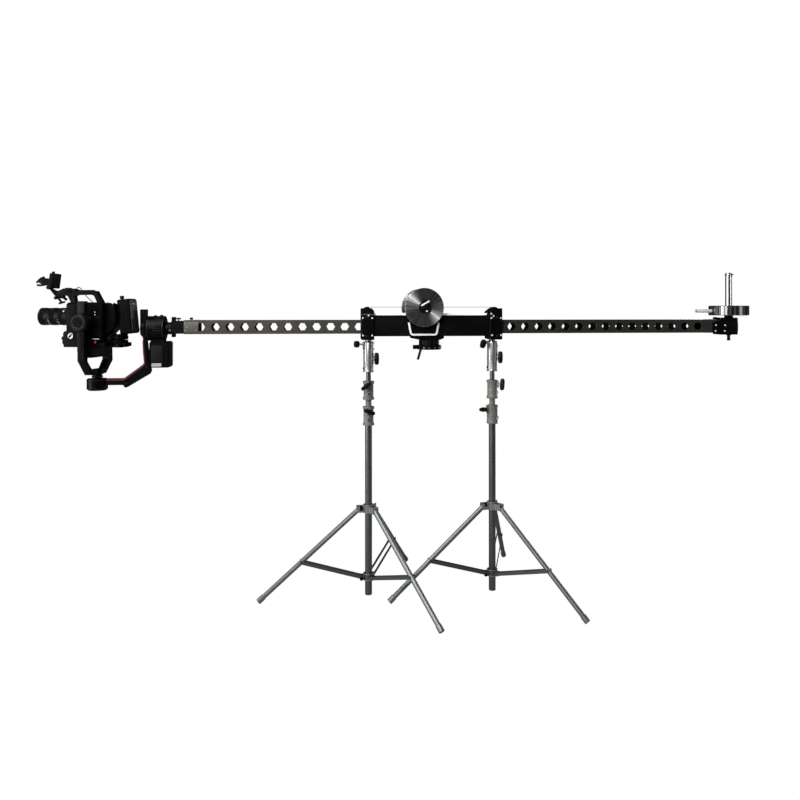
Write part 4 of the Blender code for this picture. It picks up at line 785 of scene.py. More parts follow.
for side in ("left", "right"):
    body = "sleeve"
    shell = makePiece(f"{side}_receiver_casting", receiverShape(receiverLook), "receiverGrey", body,
        where=side)
    tube = turned([(0.0125, 1.13), (0.0125, 0.42), (0.0105, 0.42), (0.0105, 1.09)], 32)
    makePiece(f"{side}_top_tube", tube, "tubeSteel", body, where=side)
    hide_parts(f"{side}_receiver")
    radius = receiverLook["radius"]
    if side == "left":
        topAt, topWay, topTurn = (-radius + 0.004, -0.01, 1.267), (-0.97, -0.22, 0.02), 88.0
        wingAt = (radius - 0.003, -0.004, 1.194)
        wingWay, wingTurn = (1.0, -0.1, 0.0), 90.0
        bumps = [((radius, -0.004, 1.272), (1, -0.1, 0)), ((radius, -0.004, 1.243), (1, -0.1, 0)),
            ((-radius, -0.004, 1.248), (-1, -0.1, 0)), ((-radius, -0.004, 1.1455), (-1, -0.1, 0))]
    else:
        topAt, topWay, topTurn = (-radius + 0.006, -0.012, 1.274), (-0.84, -0.48, -0.16), 62.0
        wingAt = (radius - 0.003, -0.006, 1.198)
        wingWay, wingTurn = (0.94, -0.34, 0.0), 84.0
        bumps = [((radius, -0.004, 1.256), (1, -0.1, 0)), ((-radius, -0.006, 1.146), (-1, -0.25, 0)),
            ((-radius, -0.006, 1.15), (-1, -0.25, 0))]
    lug = joined(placed(button(0.01, 0.01, 0.0085, 0.008, 20, -0.006), topAt, topWay),
        placed(button(0.0095, 0.008, 0.008, 0.006, 20, -0.006), wingAt, wingWay))
    makePiece(f"{side}_receiver_lugs", lug, "receiverGrey", body, where=side)
    topShaft = rod(0.0036, 0.034, 0.0, 14)
    wingScrew = rod(0.0036, 0.02, 0.0, 14)
    makePiece(f"{side}_receiver_shafts", [placed(topShaft, topAt, topWay),
        placed(wingScrew, wingAt, wingWay)], "zinc", body, where=side)
    topGrip = wingGrip({"length": 0.0165 if side == "left" else 0.0225, "tip": 0.0115, "middle": 0.0135,
        "high": 0.029})
    makePiece(f"{side}_receiver_top_knob", placed(topGrip, topAt, topWay, topTurn, 0.024), "knobBlack",
        body, where=side)
    wing = wingGrip({"length": 0.0305, "tip": 0.0085, "middle": 0.0125, "high": 0.025})
    makePiece(f"{side}_receiver_wing_knob", placed(wing, wingAt, wingWay, wingTurn, 0.005), "knobBlack",
        body, where=side)
    bolts = [placed(button(0.0044, 0.0032, 0.0034, 0.0022, 12, -0.002), at, way) for at, way in bumps]
    makePiece(f"{side}_receiver_bolts", bolts, "blackScrew", body, where=side)
    ribs = []
    for degrees in ((200.0, 250.0, 290.0, 340.0, 90.0) if side == "right" else (20.0, 160.0, 90.0)):
        t = math.radians(degrees)
        ribs.append(placed(block((-0.0016, -0.0012, 0.0), (0.0016, 0.0013, 0.09)),
            onRing(radius, t, 1.184), top, degrees - 90.0))
    makePiece(f"{side}_receiver_ribs", ribs, "receiverGrey", body, where=side, bevel=0.0005)
    # Grooves drawn as black strips on the grey casting: painted shade inside the grooves.
    grooves = []
    for degrees, low, high in ((242.0, 1.183, 1.274), (286.0, 1.183, 1.274), (230.0, 1.134, 1.176),
            (296.0, 1.134, 1.176)):
        t = math.radians(degrees)
        grooves.append(placed(block((-0.0011, -0.001, 0.0), (0.0011, 0.0005, high - low)),
            onRing(radius, t, low), top, degrees - 90.0))
    makePiece(f"{side}_receiver_groove_shade", grooves, "blackScrew", body, steel, where=side)
print("receivers made")

# Clamps: turned shells with flanges, a boss with a bolt in front, groove lines and bolts
clampLook = {"left": {"riser": (0.0249, 0.0289), "column": (0.0253, 0.0292)},
    "right": {"riser": (0.0249, 0.0289), "column": (0.0272, 0.0292)}}


def clampShape(low, high, outer, flange, bore):
    profile = [(bore, high), (flange - 0.0022, high), (flange - 0.0006, high - 0.0006),
        (flange, high - 0.002), (flange, high - 0.005), (flange - 0.0012, high - 0.0065),
        (outer + 0.0006, high - 0.008), (outer, high - 0.0105), (outer, low + 0.0105),
        (outer + 0.0006, low + 0.008), (flange - 0.0012, low + 0.0065), (flange, low + 0.005),
        (flange, low + 0.002), (flange - 0.0006, low + 0.0006), (flange - 0.0022, low), (bore, low),
        (bore, high)]
    return lathe(profile, 48)


for side in ("left", "right"):
    for name, body, low, high, bore in (("riser", f"{side}_riser", 0.9893, 1.0822, 0.0152),
            ("column", f"{side}_column", 0.861, 0.955, 0.018)):
        outer, flange = clampLook[side][name]
        makePiece(f"{side}_{name}_clamp_shell", clampShape(low, high, outer, flange, bore), "castGrey",
            body, where=side)
        rings = [hollow([(outer - 0.001, z + 0.0006), (outer + 0.0007, z + 0.0006), (outer + 0.0009, z),
            (outer + 0.0007, z - 0.0006), (outer - 0.001, z - 0.0006)], 48)
            for z in ((low + high) / 2, low + 0.0145)]
        if side == "right":
            makePiece(f"{side}_{name}_clamp_lines", rings, "zinc", body, where=side)
        turn = math.radians(268.0 if side == "left" else 338.0)
        at = onRing(outer - 0.003, turn, low + 0.03)
        way = onRing(1.0, turn, 0.0)
        boss = prism([(-0.0105, 0.0), (-0.0035, 0.0095), (0.0035, 0.0095), (0.0105, 0.0),
            (0.0035, -0.0095), (-0.0035, -0.0095)], 0.0, 0.0062)
        makePiece(f"{side}_{name}_clamp_boss", placed(boss, at, way), "zinc", body, casting, where=side,
            bevel=0.0014)
        bolt = capScrew(0.0046, 0.0036)
        makePiece(f"{side}_{name}_clamp_bolt", placed(bolt, at, way, lift=0.0055), "blackScrew", body,
            where=side)
        knob = jointTo[f"{side}_{name}_knob"]
        washer = hollow([(0.0042, 0.0016), (0.0076, 0.0016), (0.0082, 0.001), (0.0082, 0.0),
            (0.0042, 0.0)], 20)
        makePiece(f"{side}_{name}_knob_washer", placed(washer, knob["pos_m"], knob["axis"]), "zinc", body,
            where="object")
print("clamps made")

# Leg collars and the collars at the columns' feet, each with a locking knob
collarLook = {"z": 0.444, "half": 0.02, "radius": 0.0272, "lowZ": 0.1035, "lowHalf": 0.017,
    "lowRadius": 0.0262}
for side in ("left", "right"):
    collar, column = f"{side}_leg_collar", f"{side}_column"
    for name, body, z, half, radius in (("leg_collar", collar, collarLook["z"], collarLook["half"],
            collarLook["radius"]), ("foot_collar", column, collarLook["lowZ"], collarLook["lowHalf"],
            collarLook["lowRadius"])):
        rings = [band(radius - 0.002, radius + 0.001, z + up - 0.0022, z + up + 0.0022, 0.001, 0.001, 40)
            for up in (half - 0.0024, -half + 0.0024)]
        makePiece(f"{side}_{name}_rings", rings, "castGrey", body, where=side)
    way = (-0.93, -0.36, 0.0)
    at = (-0.024, -0.009, collarLook["z"] + (0.004 if side == "left" else 0.006))
    knob = turned([(0.01, 0.023), (0.0125, 0.0205), (0.0125, 0.0105), (0.01, 0.008)], 10)
    makePiece(f"{side}_collar_knob", placed(knob, at, way), "knobBlack", collar, where=side, bevel=0.0012)
    shaft = rod(0.0038, 0.01, -0.004, 14)
    small = placed(capScrew(0.0052, 0.006), (0.0262, -0.006, collarLook["z"] - 0.004), (1.0, -0.3, 0.0))
    makePiece(f"{side}_collar_shaft", [placed(shaft, at, way), small], "zinc", collar, where=side)
    at = (-0.0225, -0.011, collarLook["lowZ"] - 0.006)
    lowKnob = turned([(0.0075, 0.022), (0.01, 0.02), (0.01, 0.011), (0.008, 0.009), (0.0036, 0.009),
        (0.0036, 0.0)], 10)
    makePiece(f"{side}_foot_collar_knob", placed(lowKnob, at, (-0.9, -0.43, 0.0)), "knobBlack", column,
        where=side, bevel=0.001)
print("collars made")

# Gimbal: roll motor rings and ribs, red lines, screws and the battery's ribs
rollLook = {"z": 1.349}
for name, x, radius, wide in (("outer", -1.388, 0.0606, 0.005), ("middle", -1.356, 0.0604, 0.003),
        ("inner", -1.316, 0.0606, 0.006)):
    ring = band(radius - 0.003, radius, 0.0, wide, 0.0006, 0.0006, 72)
    makePiece(f"roll_motor_ring_{name}", placed(ring, (x, 0.0, rollLook["z"]), (1.0, 0.0, 0.0)),
        "gimbalWarm", "arm")
fins = toothed(0.0603, 0.0012, 36, 0.0, 0.029)
makePiece("roll_motor_fins", placed(fins, (-1.35, 0.0, rollLook["z"]), (1.0, 0.0, 0.0)), "gimbalBlack",
    "arm", smooth=20.0)
latch = joined(block((-1.348, -0.0635, 1.356), (-1.319, -0.052, 1.37)),
    placed(button(0.0085, 0.007, 0.007, 0.0055, 20), (-1.3335, -0.06, 1.363), front))
makePiece("roll_lock_latch", latch, "gimbalWarm", "arm", bevel=0.001)
bosses = [placed(button(0.008, 0.0055, 0.007, 0.004, 20, -0.004), (x, -0.015, z), (0.0, -0.35, 1.0))
    for x, z in ((-1.3538, 1.406), (-1.3244, 1.408))]
makePiece("roll_motor_bosses", bosses, "gimbalWarm", "arm")
armPath = [(-1.414, 1.29), (-1.412, 1.24), (-1.407, 1.176), (-1.504, 1.104), (-1.583, 1.104)]
linePath = [(-1.4108, 1.29), (-1.4086, 1.24), (-1.403, 1.1735), (-1.502, 1.1), (-1.583, 1.1)]
for name, sign in nearFar:
    line = ribbon(rounded(linePath, 0.01), 0.0058, span(sign, 0.0196, 0.0208))
    makePiece(f"gimbal_arm_line_{name}", line, "redLine", "gimbal_arm")
spine = ribbon(rounded([(x + dx, z + dz) for (x, z), (dx, dz) in zip(armPath, ((-0.001, 0.0),
    (-0.0008, 0.0), (-0.0007, 0.0004), (0.0, 0.0008), (0.0, 0.0008)))], 0.01), 0.003, (-0.012, 0.012))
makePiece("gimbal_arm_inner_line", spine, "redLine", "gimbal_arm")
screws = faceScrews(0.0036, 0.0016, 0.0199, ((-1.411, 1.428), (-1.411, 1.31), (-1.396, 1.162),
    (-1.49, 1.08)))
makePiece("gimbal_arm_screws", screws, "blackScrew", "gimbal_arm", magnesium)
lock = placed(button(0.01, 0.011, 0.0085, 0.0095, 20), (-1.411, -0.0195, 1.364), front)
makePiece("gimbal_arm_lock", lock, "gimbalWarm", "gimbal_arm")
cap = placed(button(0.0135, 0.003, 0.012, 0.0018, 32), (-1.4258, 0.0, 1.349), (-1.0, 0.0, 0.0))
makePiece("gimbal_arm_cap", cap, "gimbalWarm", "gimbal_arm")
panRings = [band(0.0455, 0.0489, z, z + high, 0.0004, 0.0006, 56)
    for z, high in ((1.058, 0.003), (1.0985, 0.005))]
makePiece("pan_motor_rings", placed(joined(*panRings), (panX, 0.0, 0.0)), "gimbalWarm", "gimbal_arm")
cell = {"left": -1.3768, "right": -1.283, "low": 1.1593, "high": 1.286, "half": 0.045}
ribs = [block((cell["right"] - 0.0005, -0.04, z), (cell["right"] + 0.0016, 0.04, z + 0.003))
    for z in (cell["low"] + 0.012 + 0.0072 * i for i in range(15))]
makePiece("battery_ribs_back", ribs, "gimbalBlack", "arm", bevel=0.0006)
for name, sign in nearFar:
    inner, outer = span(sign, cell["half"] - 0.0005, cell["half"] + 0.0014)
    grooves = [block((cell["right"] - 0.023, inner, z), (cell["right"] - 0.004, outer, z + 0.003))
        for z in (cell["low"] + 0.01 + 0.0072 * i for i in range(15))]
    makePiece(f"battery_ribs_{name}", grooves, "gimbalBlack", "arm", bevel=0.0006)
    label = block((cell["left"] + 0.01, inner, cell["low"] + 0.028), (cell["right"] - 0.03,
        outer - 0.0011, cell["high"] - 0.02))
    makePiece(f"battery_label_{name}", label, "gimbalWarm", "arm", bevel=0.0004)
    inner, outer = span(sign, cell["half"] + 0.0002, cell["half"] + 0.001)
    plate = joined(block((cell["left"] + 0.012, inner, cell["low"] + 0.006),
        (cell["left"] + 0.058, outer, cell["low"] + 0.022)),
        block((cell["left"] + 0.03, inner, cell["high"] - 0.029),
        (cell["left"] + 0.052, outer, cell["high"] - 0.0245)))
    makePiece(f"battery_plate_{name}", plate, "greyLabel", "arm", magnesium, bevel=0.0002)
    lights = [placed(lathe([(0.0, 0.0008), (0.0013, 0.0008), (0.0016, 0.0), (0.0, 0.0)], 10),
        (cell["left"] + 0.015 + 0.006 * i, sign * (cell["half"] + 0.0002), cell["low"] + 0.016),
        (0.0, sign, 0.0)) for i in range(4)]
    makePiece(f"battery_lights_{name}", lights, "paleMark", "arm", magnesium)
seam = ribbon([(cell["left"] - 0.0003, cell["high"] - 0.016),
    (cell["right"] + 0.0003, cell["high"] - 0.016)], 0.001,
    (-cell["half"] - 0.0003, cell["half"] + 0.0003))
makePiece("battery_seam", seam, "knobBlack", "arm", magnesium)
print("gimbal made")

# Fork: tilt motor rings, caps, panels, screws and the red line under the far arm
tilt = {"z": 1.3794, "face": -0.171}
dish = turned([(0.0225, -0.0022), (0.024, 0.0), (0.0262, 0.0012), (0.0345, 0.0012), (0.0385, -0.0015),
    (0.0418, -0.0058), (0.043, -0.0075), (0.043, -0.02), (0.0424, -0.021), (0.0424, -0.04), (0.02, -0.04),
    (0.02, -0.006)], 64)
makePiece("tilt_motor_cover", placed(dish, (0.0, tilt["face"], tilt["z"]), front), "gimbalWarm", "fork",
    smooth=24.0)
hub = button(0.02, 0.0006, 0.019, -0.0002, 48, -0.003)
makePiece("tilt_motor_hub", placed(hub, (0.0, tilt["face"] - 0.0002, tilt["z"]), front), "gimbalBlack",
    "fork")
farDish = turned([(0.02, 0.0012), (0.0262, -0.002), (0.0266, -0.004), (0.0266, -0.012)], 48)
makePiece("far_hub_cover", placed(farDish, (0.0, 0.116, tilt["z"]), back), "gimbalWarm", "fork")
upper = block((-0.0172, -0.1456, 1.418), (0.0172, -0.1136, 1.48))
makePiece("tilt_post_cover", upper, "gimbalWarm", "fork", bevel=0.0024)
arms = [((-0.0176, -0.1462, 1.242), (0.0176, -0.1395, 1.338)),
    ((-0.0176, 0.0995, 1.23), (0.0176, 0.1062, 1.345))]
for (low, high), name in zip(arms, ("near", "far")):
    makePiece(f"fork_{name}_panel", block(low, high), "gimbalBlack", "fork", bevel=0.0022)
screws = [placed(capScrew(0.003, 0.0014), (x, y, z), (0.0, way, 0.0)) for x in (-0.012, 0.012)
    for z in (1.25, 1.33) for y, way in ((-0.146, -1.0), (0.106, 1.0))]
makePiece("fork_panel_screws", screws, "blackScrew", "fork", magnesium)
edge = [(0.105, 1.26), (0.105, 1.235), (0.1135, 1.1905), (0.056, 1.13)]
farLine, farFaces = prism([(a - 0.0006, b) for a, b in edge]
    + [(a + 0.0012, b - 0.0006) for a, b in edge[::-1]], -0.006, 0.006)
makePiece("fork_far_line", ([(z, x, y) for x, y, z in farLine], farFaces), "redLine", "fork")
mark = block((-0.012, 0.074, 1.178), (-0.004, 0.0756, 1.185))
makePiece("fork_inner_mark", mark, "paleMark", "fork", magnesium)
neck = turned([(0.03, 1.129), (0.031, 1.13), (0.029, 1.144), (0.024, 1.153)], 44)
makePiece("fork_neck_collar", neck, "gimbalBlack", "fork")
skirt = hollow([(0.0224, 1.112), (0.024, 1.112), (0.026, 1.1132), (0.026, 1.118), (0.024, 1.12),
    (0.0224, 1.12)], 44)
makePiece("fork_neck_skirt", skirt, "gimbalWarm", "fork")
print("fork made")

# Lens: a turned barrel with three ribbed rings, a front glass and an index knob
lensLook = {"x": -0.1103, "y": -0.012, "z": 1.407, "length": 0.1667}
lensPlace = aim((lensLook["x"], lensLook["y"], lensLook["z"]), (-1.0, 0.0, 0.0))
end = lensLook["length"]
profile = [(0.0, 0.0), (0.037, 0.0), (0.037, 0.006), (0.0385, 0.007), (0.0385, 0.017), (0.0395, 0.0185),
    (0.041, 0.02), (0.0412, 0.042), (0.0405, 0.0425), (0.0405, 0.062), (0.0414, 0.0626), (0.0414, 0.084),
    (0.0405, 0.0846), (0.0405, 0.1095), (0.0416, 0.1102), (0.0416, 0.1385), (0.0405, 0.1392),
    (0.0405, 0.158), (0.0422, 0.1588), (0.0427, 0.16), (0.0427, end - 0.001), (0.042, end), (0.0392, end),
    (0.038, end - 0.003), (0.0372, end - 0.01), (0.0, end - 0.01)]
barrel = makePiece("lens_barrel", moved(lathe(profile, 72), lensPlace), "lensBlack", "camera",
    smooth=26.0)
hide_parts("camera_lens")
for number, (start, finish, teeth) in enumerate(((0.043, 0.0615, 60), (0.085, 0.109, 72),
        (0.1396, 0.1576, 60)), 1):
    ring = toothed(0.0427, 0.0012, teeth, start, finish)
    makePiece(f"lens_ring_{number}", moved(ring, lensPlace), "lensRubber", "camera", lensSlot,
        smooth=15.0)
glass = lathe([(0.0, end - 0.005), (0.012, end - 0.0054), (0.024, end - 0.0066), (0.033, end - 0.0086),
    (0.0368, end - 0.0098), (0.0, end - 0.0099)], 56)
makePiece("lens_glass", moved(glass, lensPlace), "lensGlass", "camera", smooth=60.0)
ticks = []
for radius, start, finish, count in ((0.0414, 0.064, 0.067, 18), (0.0416, 0.112, 0.116, 24)):
    for i in range(count):
        t = math.radians(-170.0 + 150.0 * i / (count - 1))
        long = finish + (0.003 if i % 3 == 0 else 0.0)
        ticks.append(placed(block((-0.0004, -0.0002, start), (0.0004, 0.0003, long)),
            onRing(radius, t, 0.0), top, math.degrees(t) - 90.0))
makePiece("lens_scale_ticks", moved(joined(*ticks), lensPlace), "paleMark", "camera", lensSlot)
index = placed(button(0.009, 0.007, 0.0076, 0.0056, 24, -0.004), (-0.142, -0.043, 1.4345),
    (0.0, -0.75, 0.66))
makePiece("lens_release_knob", index, "chrome", "camera", lensSlot)
mount = turned([(0.052, -0.004), (0.053, -0.002), (0.05, 0.01), (0.0445, 0.014), (0.038, 0.014),
    (0.038, 0.0)], 56)
cameraPart("lens_mount_housing", moved(mount, lensPlace))
print("lens made")

# Camera body: panels, controls, ports and vents
side, far, bodyTop = -0.09, 0.052, 1.473


def onSide(x, z, out=0.0):
    return aim((x, side - out, z), front)


panels = [((0.033, side - 0.002, 1.352), (0.073, side + 0.001, 1.46)), ((-0.104, side - 0.002, 1.36),
    (-0.05, side + 0.001, 1.462)), ((-0.01, side - 0.0016, 1.292), (0.073, side + 0.001, 1.344))]
for number, (low, high) in enumerate(panels, 1):
    cameraPart(f"body_side_panel_{number}", block(low, high), bevel=0.0016)
dial = turned([(0.011, 0.005), (0.012, 0.0042), (0.012, 0.0015), (0.015, 0.0012), (0.016, 0.0)], 40)
makePiece("body_control_dial", moved(dial, onSide(0.052, 1.396, 0.0018)), "lensBlack", "camera",
    cameraSlot)
keys = [moved(button(0.0032, 0.002, 0.0026, 0.0012, 16), onSide(x, z, 0.0018)) for x, z in [(0.04, 1.442),
    (0.052, 1.442), (0.064, 1.442), (0.038, 1.419), (0.038, 1.373), (0.052, 1.368), (0.066, 1.373),
    (-0.09, 1.444), (-0.078, 1.444), (-0.066, 1.444), (-0.09, 1.428)]]
makePiece("body_keys", keys, "lensRubber", "camera")
pale = [moved(button(0.0028, 0.0024, 0.0024, 0.0016, 14), onSide(x, z, 0.0018))
    for x, z in ((0.04, 1.429), (0.04, 1.4155))]
makePiece("body_pale_keys", pale, "paleMark", "camera")
strip = block((0.012, side - 0.0022, 1.3), (0.06, side - 0.0014, 1.3034))
makePiece("body_label_strip", strip, "paleMark", "camera")
wheelAt = (-0.078, 1.3152)
wheel = turned([(0.004, 0.005), (0.005, 0.006), (0.013, 0.006), (0.0144, 0.0046), (0.0144, 0.0)], 36)
makePiece("side_rosette", moved(wheel, onSide(*wheelAt, 0.006)), "zinc", "camera", cameraSlot)
# The slot is a black plate on the zinc rosette: painted shade in the slot.
slot = prism([(-0.0112, -0.0034), (0.0, 0.0002), (0.0112, -0.0034), (0.0116, 0.0022), (0.0, 0.0062),
    (-0.0116, 0.0022)], 0.0052, 0.0072)
makePiece("rosette_slot", moved(slot, onSide(*wheelAt, 0.006) @ Matrix.Rotation(0.9, 4, "Z")),
    "knobBlack", "camera", cameraSlot)
bracket = [(-0.123, 1.279), (-0.123, 1.296), (-0.127, 1.299), (-0.127, 1.311), (-0.119, 1.314),
    (-0.119, 1.329), (-0.113, 1.337), (-0.096, 1.342), (-0.05, 1.33), (-0.03, 1.32), (-0.03, 1.27),
    (-0.11, 1.27)]
shape = sidePrism(bracket, side - 0.006, side + 0.012)
cameraPart("front_side_bracket", shape, bevel=0.002)
rail = block((-0.03, side - 0.003, 1.264), (0.09, side + 0.032, 1.2846))
cameraPart("base_side_rail", rail, bevel=0.002)
red = button(0.0064, 0.006, 0.0052, 0.0048, 22)
makePiece("base_lock_button", moved(red, onSide(0.043, 1.287, 0.001)), "redButton", "camera")
vents = [block((-0.06 + 0.0085 * i, far - 0.001, 1.37), (-0.056 + 0.0085 * i, far + 0.0016, 1.44))
    for i in range(12)]
cameraPart("body_far_vents", vents, bevel=0.0006)
farPanel = block((-0.1, far - 0.001, 1.296), (0.064, far + 0.0018, 1.356))
cameraPart("body_far_panel", farPanel, bevel=0.0016)
caps = [placed(button(0.0082, 0.008, 0.007, 0.0068, 24), (x, far + 0.0016, 1.324), back)
    for x in (-0.08, -0.056, -0.032, 0.04)]
makePiece("body_far_ports", caps, "lensRubber", "camera")
screen = block((-0.008, far + 0.0016, 1.302), (0.026, far + 0.0026, 1.35))
makePiece("body_far_screen", screen, "screenGlass", "camera")
lid = block((-0.098, -0.082, bodyTop - 0.001), (0.064, -0.036, bodyTop + 0.0024))
cameraPart("body_top_lid", lid, bevel=0.0012)
screws = [placed(capScrew(0.003, 0.0016), (x, y, bodyTop - 0.0002), top) for x in (-0.098, 0.06)
    for y in (-0.08, 0.042)]
makePiece("body_top_screws", screws, "blackScrew", "camera", cameraSlot)

# Tail: ribs on both flanks, a grey bail over its top and rods with clamps below
for name, y, way in (("near", -0.061, -1.0), ("far", 0.023, 1.0)):
    inner, outer = sorted((y - way * 0.001, y + way * 0.0018))
    ribs = [block((0.079, inner, 1.447 - 0.01 * i), (0.115 - 0.0016 * max(0, i - 4), outer,
        1.452 - 0.01 * i)) for i in range(10)]
    cameraPart(f"tail_ribs_{name}", ribs, bevel=0.0007)
bail = [(0.07 + 0.04 * t, -0.05, 1.466 + 0.0095 * math.sin(math.pi * t) ** 0.6)
    for t in (i / 16 for i in range(17))]
makePiece("tail_bail", sweep(bail, 0.0014, 8), "zinc", "camera", cameraSlot)
rods = joined(*[sweep([(0.06, y, 1.306), (0.15, y, 1.306)], 0.0075, 20) for y in (-0.049, 0.011)])
cameraPart("base_rods", rods)
clamps = [((0.086, -0.064, 1.293), (0.108, 0.026, 1.318)), ((0.13, -0.064, 1.296), (0.144, 0.026, 1.324)),
    ((0.05, -0.056, 1.2846), (0.15, 0.018, 1.295))]
for number, (low, high) in enumerate(clamps, 1):
    cameraPart(f"base_clamp_{number}", block(low, high), bevel=0.002)
knobs = [placed(button(0.0085, 0.012, 0.007, 0.0105, 14), (x, -0.056, z), front)
    for x, z in ((0.097, 1.305), (0.136, 1.27), (0.07, 1.27))]
makePiece("base_knobs", knobs, "knobBlack", "camera")
plateEnds = [block((0.15, -0.05, 1.264), (0.168, 0.014, 1.283)),
    block((-0.146, -0.05, 1.268), (-0.14, 0.014, 1.282))]
cameraPart("plate_end_stops", plateEnds, bevel=0.0012)
screws = [placed(capScrew(0.0042, 0.0026), (x, -0.056, 1.273), front) for x in (-0.125, -0.09, 0.13)]
makePiece("plate_screws", screws, "blackScrew", "camera", cameraSlot)

# Battery on the tail: it leans with its plate
frames["battery"] = leaning((0.158, 0.0, 1.4075), -6.0)
cover = block((0.0313, -0.034, -0.076), (0.0337, 0.034, 0.076))
makePiece("rear_battery_panel", cover, "sideGrey", "camera", where="battery", bevel=0.0012)
gauge = [block((0.0333, -0.012 + 0.006 * i, 0.056), (0.0341, -0.0085 + 0.006 * i, 0.06))
    for i in range(5)]
makePiece("rear_battery_gauge", gauge, "paleMark", "camera", where="battery")
for name, way in nearFar:
    inner, outer = span(way, 0.0385, 0.0402)
    cameraPart(f"rear_battery_cheek_{name}", block((-0.028, inner, -0.07), (0.02, outer, 0.07)),
        where="battery", bevel=0.0012)
    seam = ribbon([(-0.018, -0.03), (-0.01, 0.02), (-0.006, 0.032)], 0.0016, span(way, 0.0398, 0.0408))
    makePiece(f"rear_battery_catch_{name}", seam, "gimbalWarm", "camera", cameraSlot, where="battery")
knob = joined(placed(rod(0.005, 0.006, 0.0, 16), (-0.022, 0.0, 0.083)), placed(turned([(0.0085, 0.015),
    (0.01, 0.0135), (0.01, 0.0015), (0.0085, 0.0)], 20), (-0.022, 0.0, 0.087)))
makePiece("rear_battery_knob", knob, "knobBlack", "camera", where="battery", bevel=0.0006)
print("camera body made")

# Handle: rubber on the grip, bolts, a shoe on top and the clamp of the monitor's rod
gripTop, gripY = 1.5345, -0.018
pad = block((-0.092, gripY - 0.0136, gripTop - 0.0205), (-0.006, gripY + 0.0136, gripTop + 0.0008))
makePiece("handle_grip", pad, "lensRubber", "camera", bevel=0.0034)
nose = sidePrism([(-0.178, gripTop - 0.004), (-0.158, gripTop + 0.0086), (-0.125, gripTop + 0.0086),
    (-0.112, gripTop + 0.001), (-0.113, gripTop - 0.016), (-0.15, gripTop - 0.018),
    (-0.178, gripTop - 0.016)], gripY - 0.0142, gripY + 0.0142)
cameraPart("handle_nose", nose, bevel=0.0034)
bolts = [placed(capScrew(0.0034, 0.0022), (x, gripY - 0.0134, z), front) for x, z in ((0.006, 1.513),
    (0.024, 1.488), (-0.104, 1.492), (-0.17, 1.524))]
makePiece("handle_bolts", bolts, "blackScrew", "camera", cameraSlot)
shoe = joined(block((-0.15, gripY - 0.01, gripTop + 0.008), (-0.126, gripY + 0.01, gripTop + 0.01)),
    block((-0.15, gripY - 0.01, gripTop + 0.0098), (-0.126, gripY - 0.0065, gripTop + 0.012)),
    block((-0.15, gripY + 0.0065, gripTop + 0.0098), (-0.126, gripY + 0.01, gripTop + 0.012)))
makePiece("handle_shoe", shoe, "blackScrew", "camera", cameraSlot, bevel=0.0004)
strut = joined(sweep([(-0.232, gripY, 1.543), (-0.198, gripY - 0.008, 1.509),
    (-0.164, gripY - 0.016, 1.476)], 0.0055, 16), sweep([(-0.176, gripY - 0.018, 1.47),
    (-0.146, gripY - 0.018, 1.478)], 0.0048, 12))
cameraPart("monitor_strut", strut, bevel=0.0006)
thumb = joined(placed(turned([(0.0065, 0.014), (0.008, 0.0125), (0.008, 0.004), (0.0065, 0.0025),
    (0.0034, 0.0025), (0.0034, -0.006)], 14), (-0.19, gripY - 0.013, 1.498), (-0.25, -1.0, -0.15)))
makePiece("rod_clamp_knob", thumb, "knobBlack", "camera", bevel=0.0006)
collars = []
for share in (0.25, 0.62):
    at = Vector((-0.148, gripY, 1.4885)).lerp(Vector((-0.236, gripY, 1.548)), share)
    ring = band(0.0062, 0.0088, -0.005, 0.005, 0.0008, 0.001, 22)
    collars.append(placed(ring, at, (-0.088, 0.0, 0.0595)))
cameraPart("rod_collars", collars)

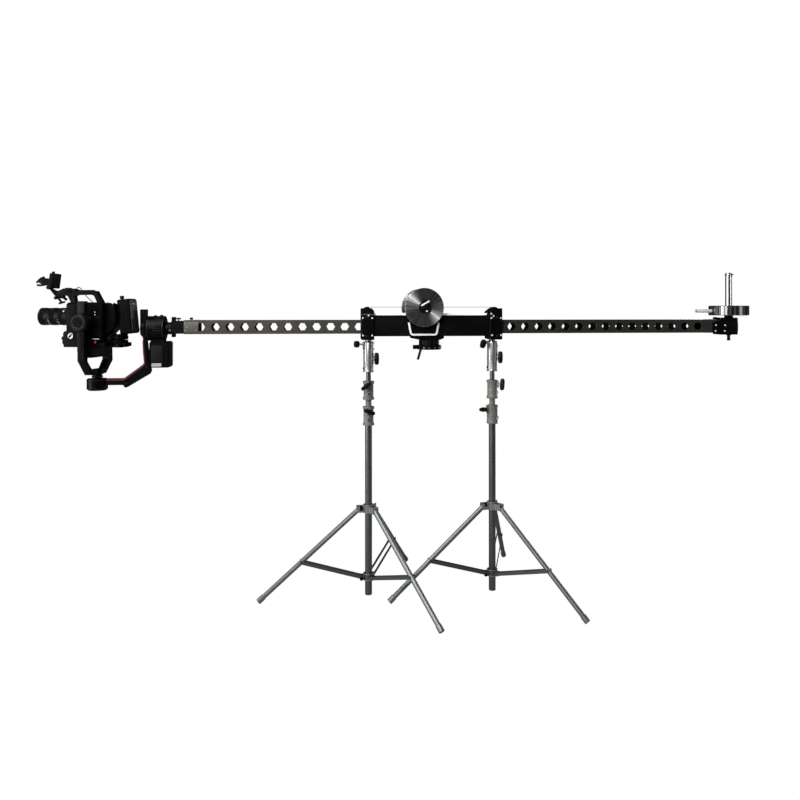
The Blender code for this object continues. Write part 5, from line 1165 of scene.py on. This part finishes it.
# Monitor: bezel, glass, buttons and the bracket with its levers behind
frames["monitor"] = leaning((-0.236, gripY, gripTop + 0.0135), 8.0)
bezel = block((0.0372, -0.0455, 0.001), (0.0392, 0.0215, 0.07))
makePiece("monitor_bezel", bezel, "cameraBlack", "monitor", bevel=0.0009)
glass = block((0.039, -0.041, 0.008), (0.0397, 0.017, 0.066))
makePiece("monitor_glass", glass, "screenGlass", "monitor")
buttons = [placed(button(0.002, 0.0012, 0.0016, 0.0006, 12), (0.0391, -0.036 + 0.007 * i, 0.0044),
    (1.0, 0.0, 0.0)) for i in range(7)]
makePiece("monitor_buttons", buttons, "lensRubber", "monitor")
hinge = placed(turned([(0.0092, 0.015), (0.0098, 0.014), (0.0098, -0.014), (0.0092, -0.015)], 26),
    (0.0, 0.0, 0.0), back)
makePiece("monitor_hinge", hinge, "knobBlack", "monitor", cameraSlot)
levers = joined(sweep([(-0.018, -0.024, 0.048), (-0.033, -0.03, 0.038), (-0.05, -0.031, 0.016)], 0.0052,
    14), sweep([(-0.008, -0.02, 0.012), (-0.03, -0.026, 0.006), (-0.048, -0.028, 0.004)], 0.005, 14),
    placed(button(0.013, 0.012, 0.011, 0.01, 14), (-0.03, -0.02, 0.026), front),
    placed(button(0.0072, 0.01, 0.006, 0.0088, 12), (0.018, -0.012, 0.07), (-0.3, 0.0, 1.0)))
makePiece("monitor_levers", levers, "knobBlack", "monitor", bevel=0.0006)
fins = [block((-0.026 + 0.006 * i, -0.0318, 0.013), (-0.0232 + 0.006 * i, -0.03, 0.04)) for i in range(6)]
makePiece("monitor_back_fins", fins, "cameraBlack", "monitor", bevel=0.0004)
print("monitor made")

# Cable: a thin loop from the handle's nose to the top of the camera body
cableLook = {"radius": 0.0019, "steps": 4, "lean": 0.571}
knots = [(-0.0985, -0.0325, 1.529), (-0.0955, -0.039, 1.54), (-0.085, -0.043, 1.5478),
    (-0.0735, -0.045, 1.542), (-0.0618, -0.046, 1.5282), (-0.0457, -0.047, 1.506),
    (-0.0265, -0.048, 1.488), (-0.016, -0.049, 1.48), (-0.011, -0.0495, 1.4748)]
knots = [Vector((x - cableLook["lean"] * (y + 0.02), y, z)) for x, y, z in knots]
# Catmull-Rom through the knots: p = (2b + (c-a)t + (2a-5b+4c-d)t^2 + (3b-a-3c+d)t^3) / 2
cablePath = []
for i in range(len(knots) - 1):
    a, b, c = knots[max(i - 1, 0)], knots[i], knots[i + 1]
    d = knots[min(i + 2, len(knots) - 1)]
    for k in range(cableLook["steps"]):
        t = k / cableLook["steps"]
        square, cube = 2 * a - 5 * b + 4 * c - d, 3 * b - a - 3 * c + d
        cablePath.append((2 * b + (c - a) * t + square * t ** 2 + cube * t ** 3) / 2)
cablePath.append(knots[-1])
cable = makePiece("handle_cable", sweep(cablePath, cableLook["radius"], 12), "lensRubber", "camera",
    plastic)
print("cable made")
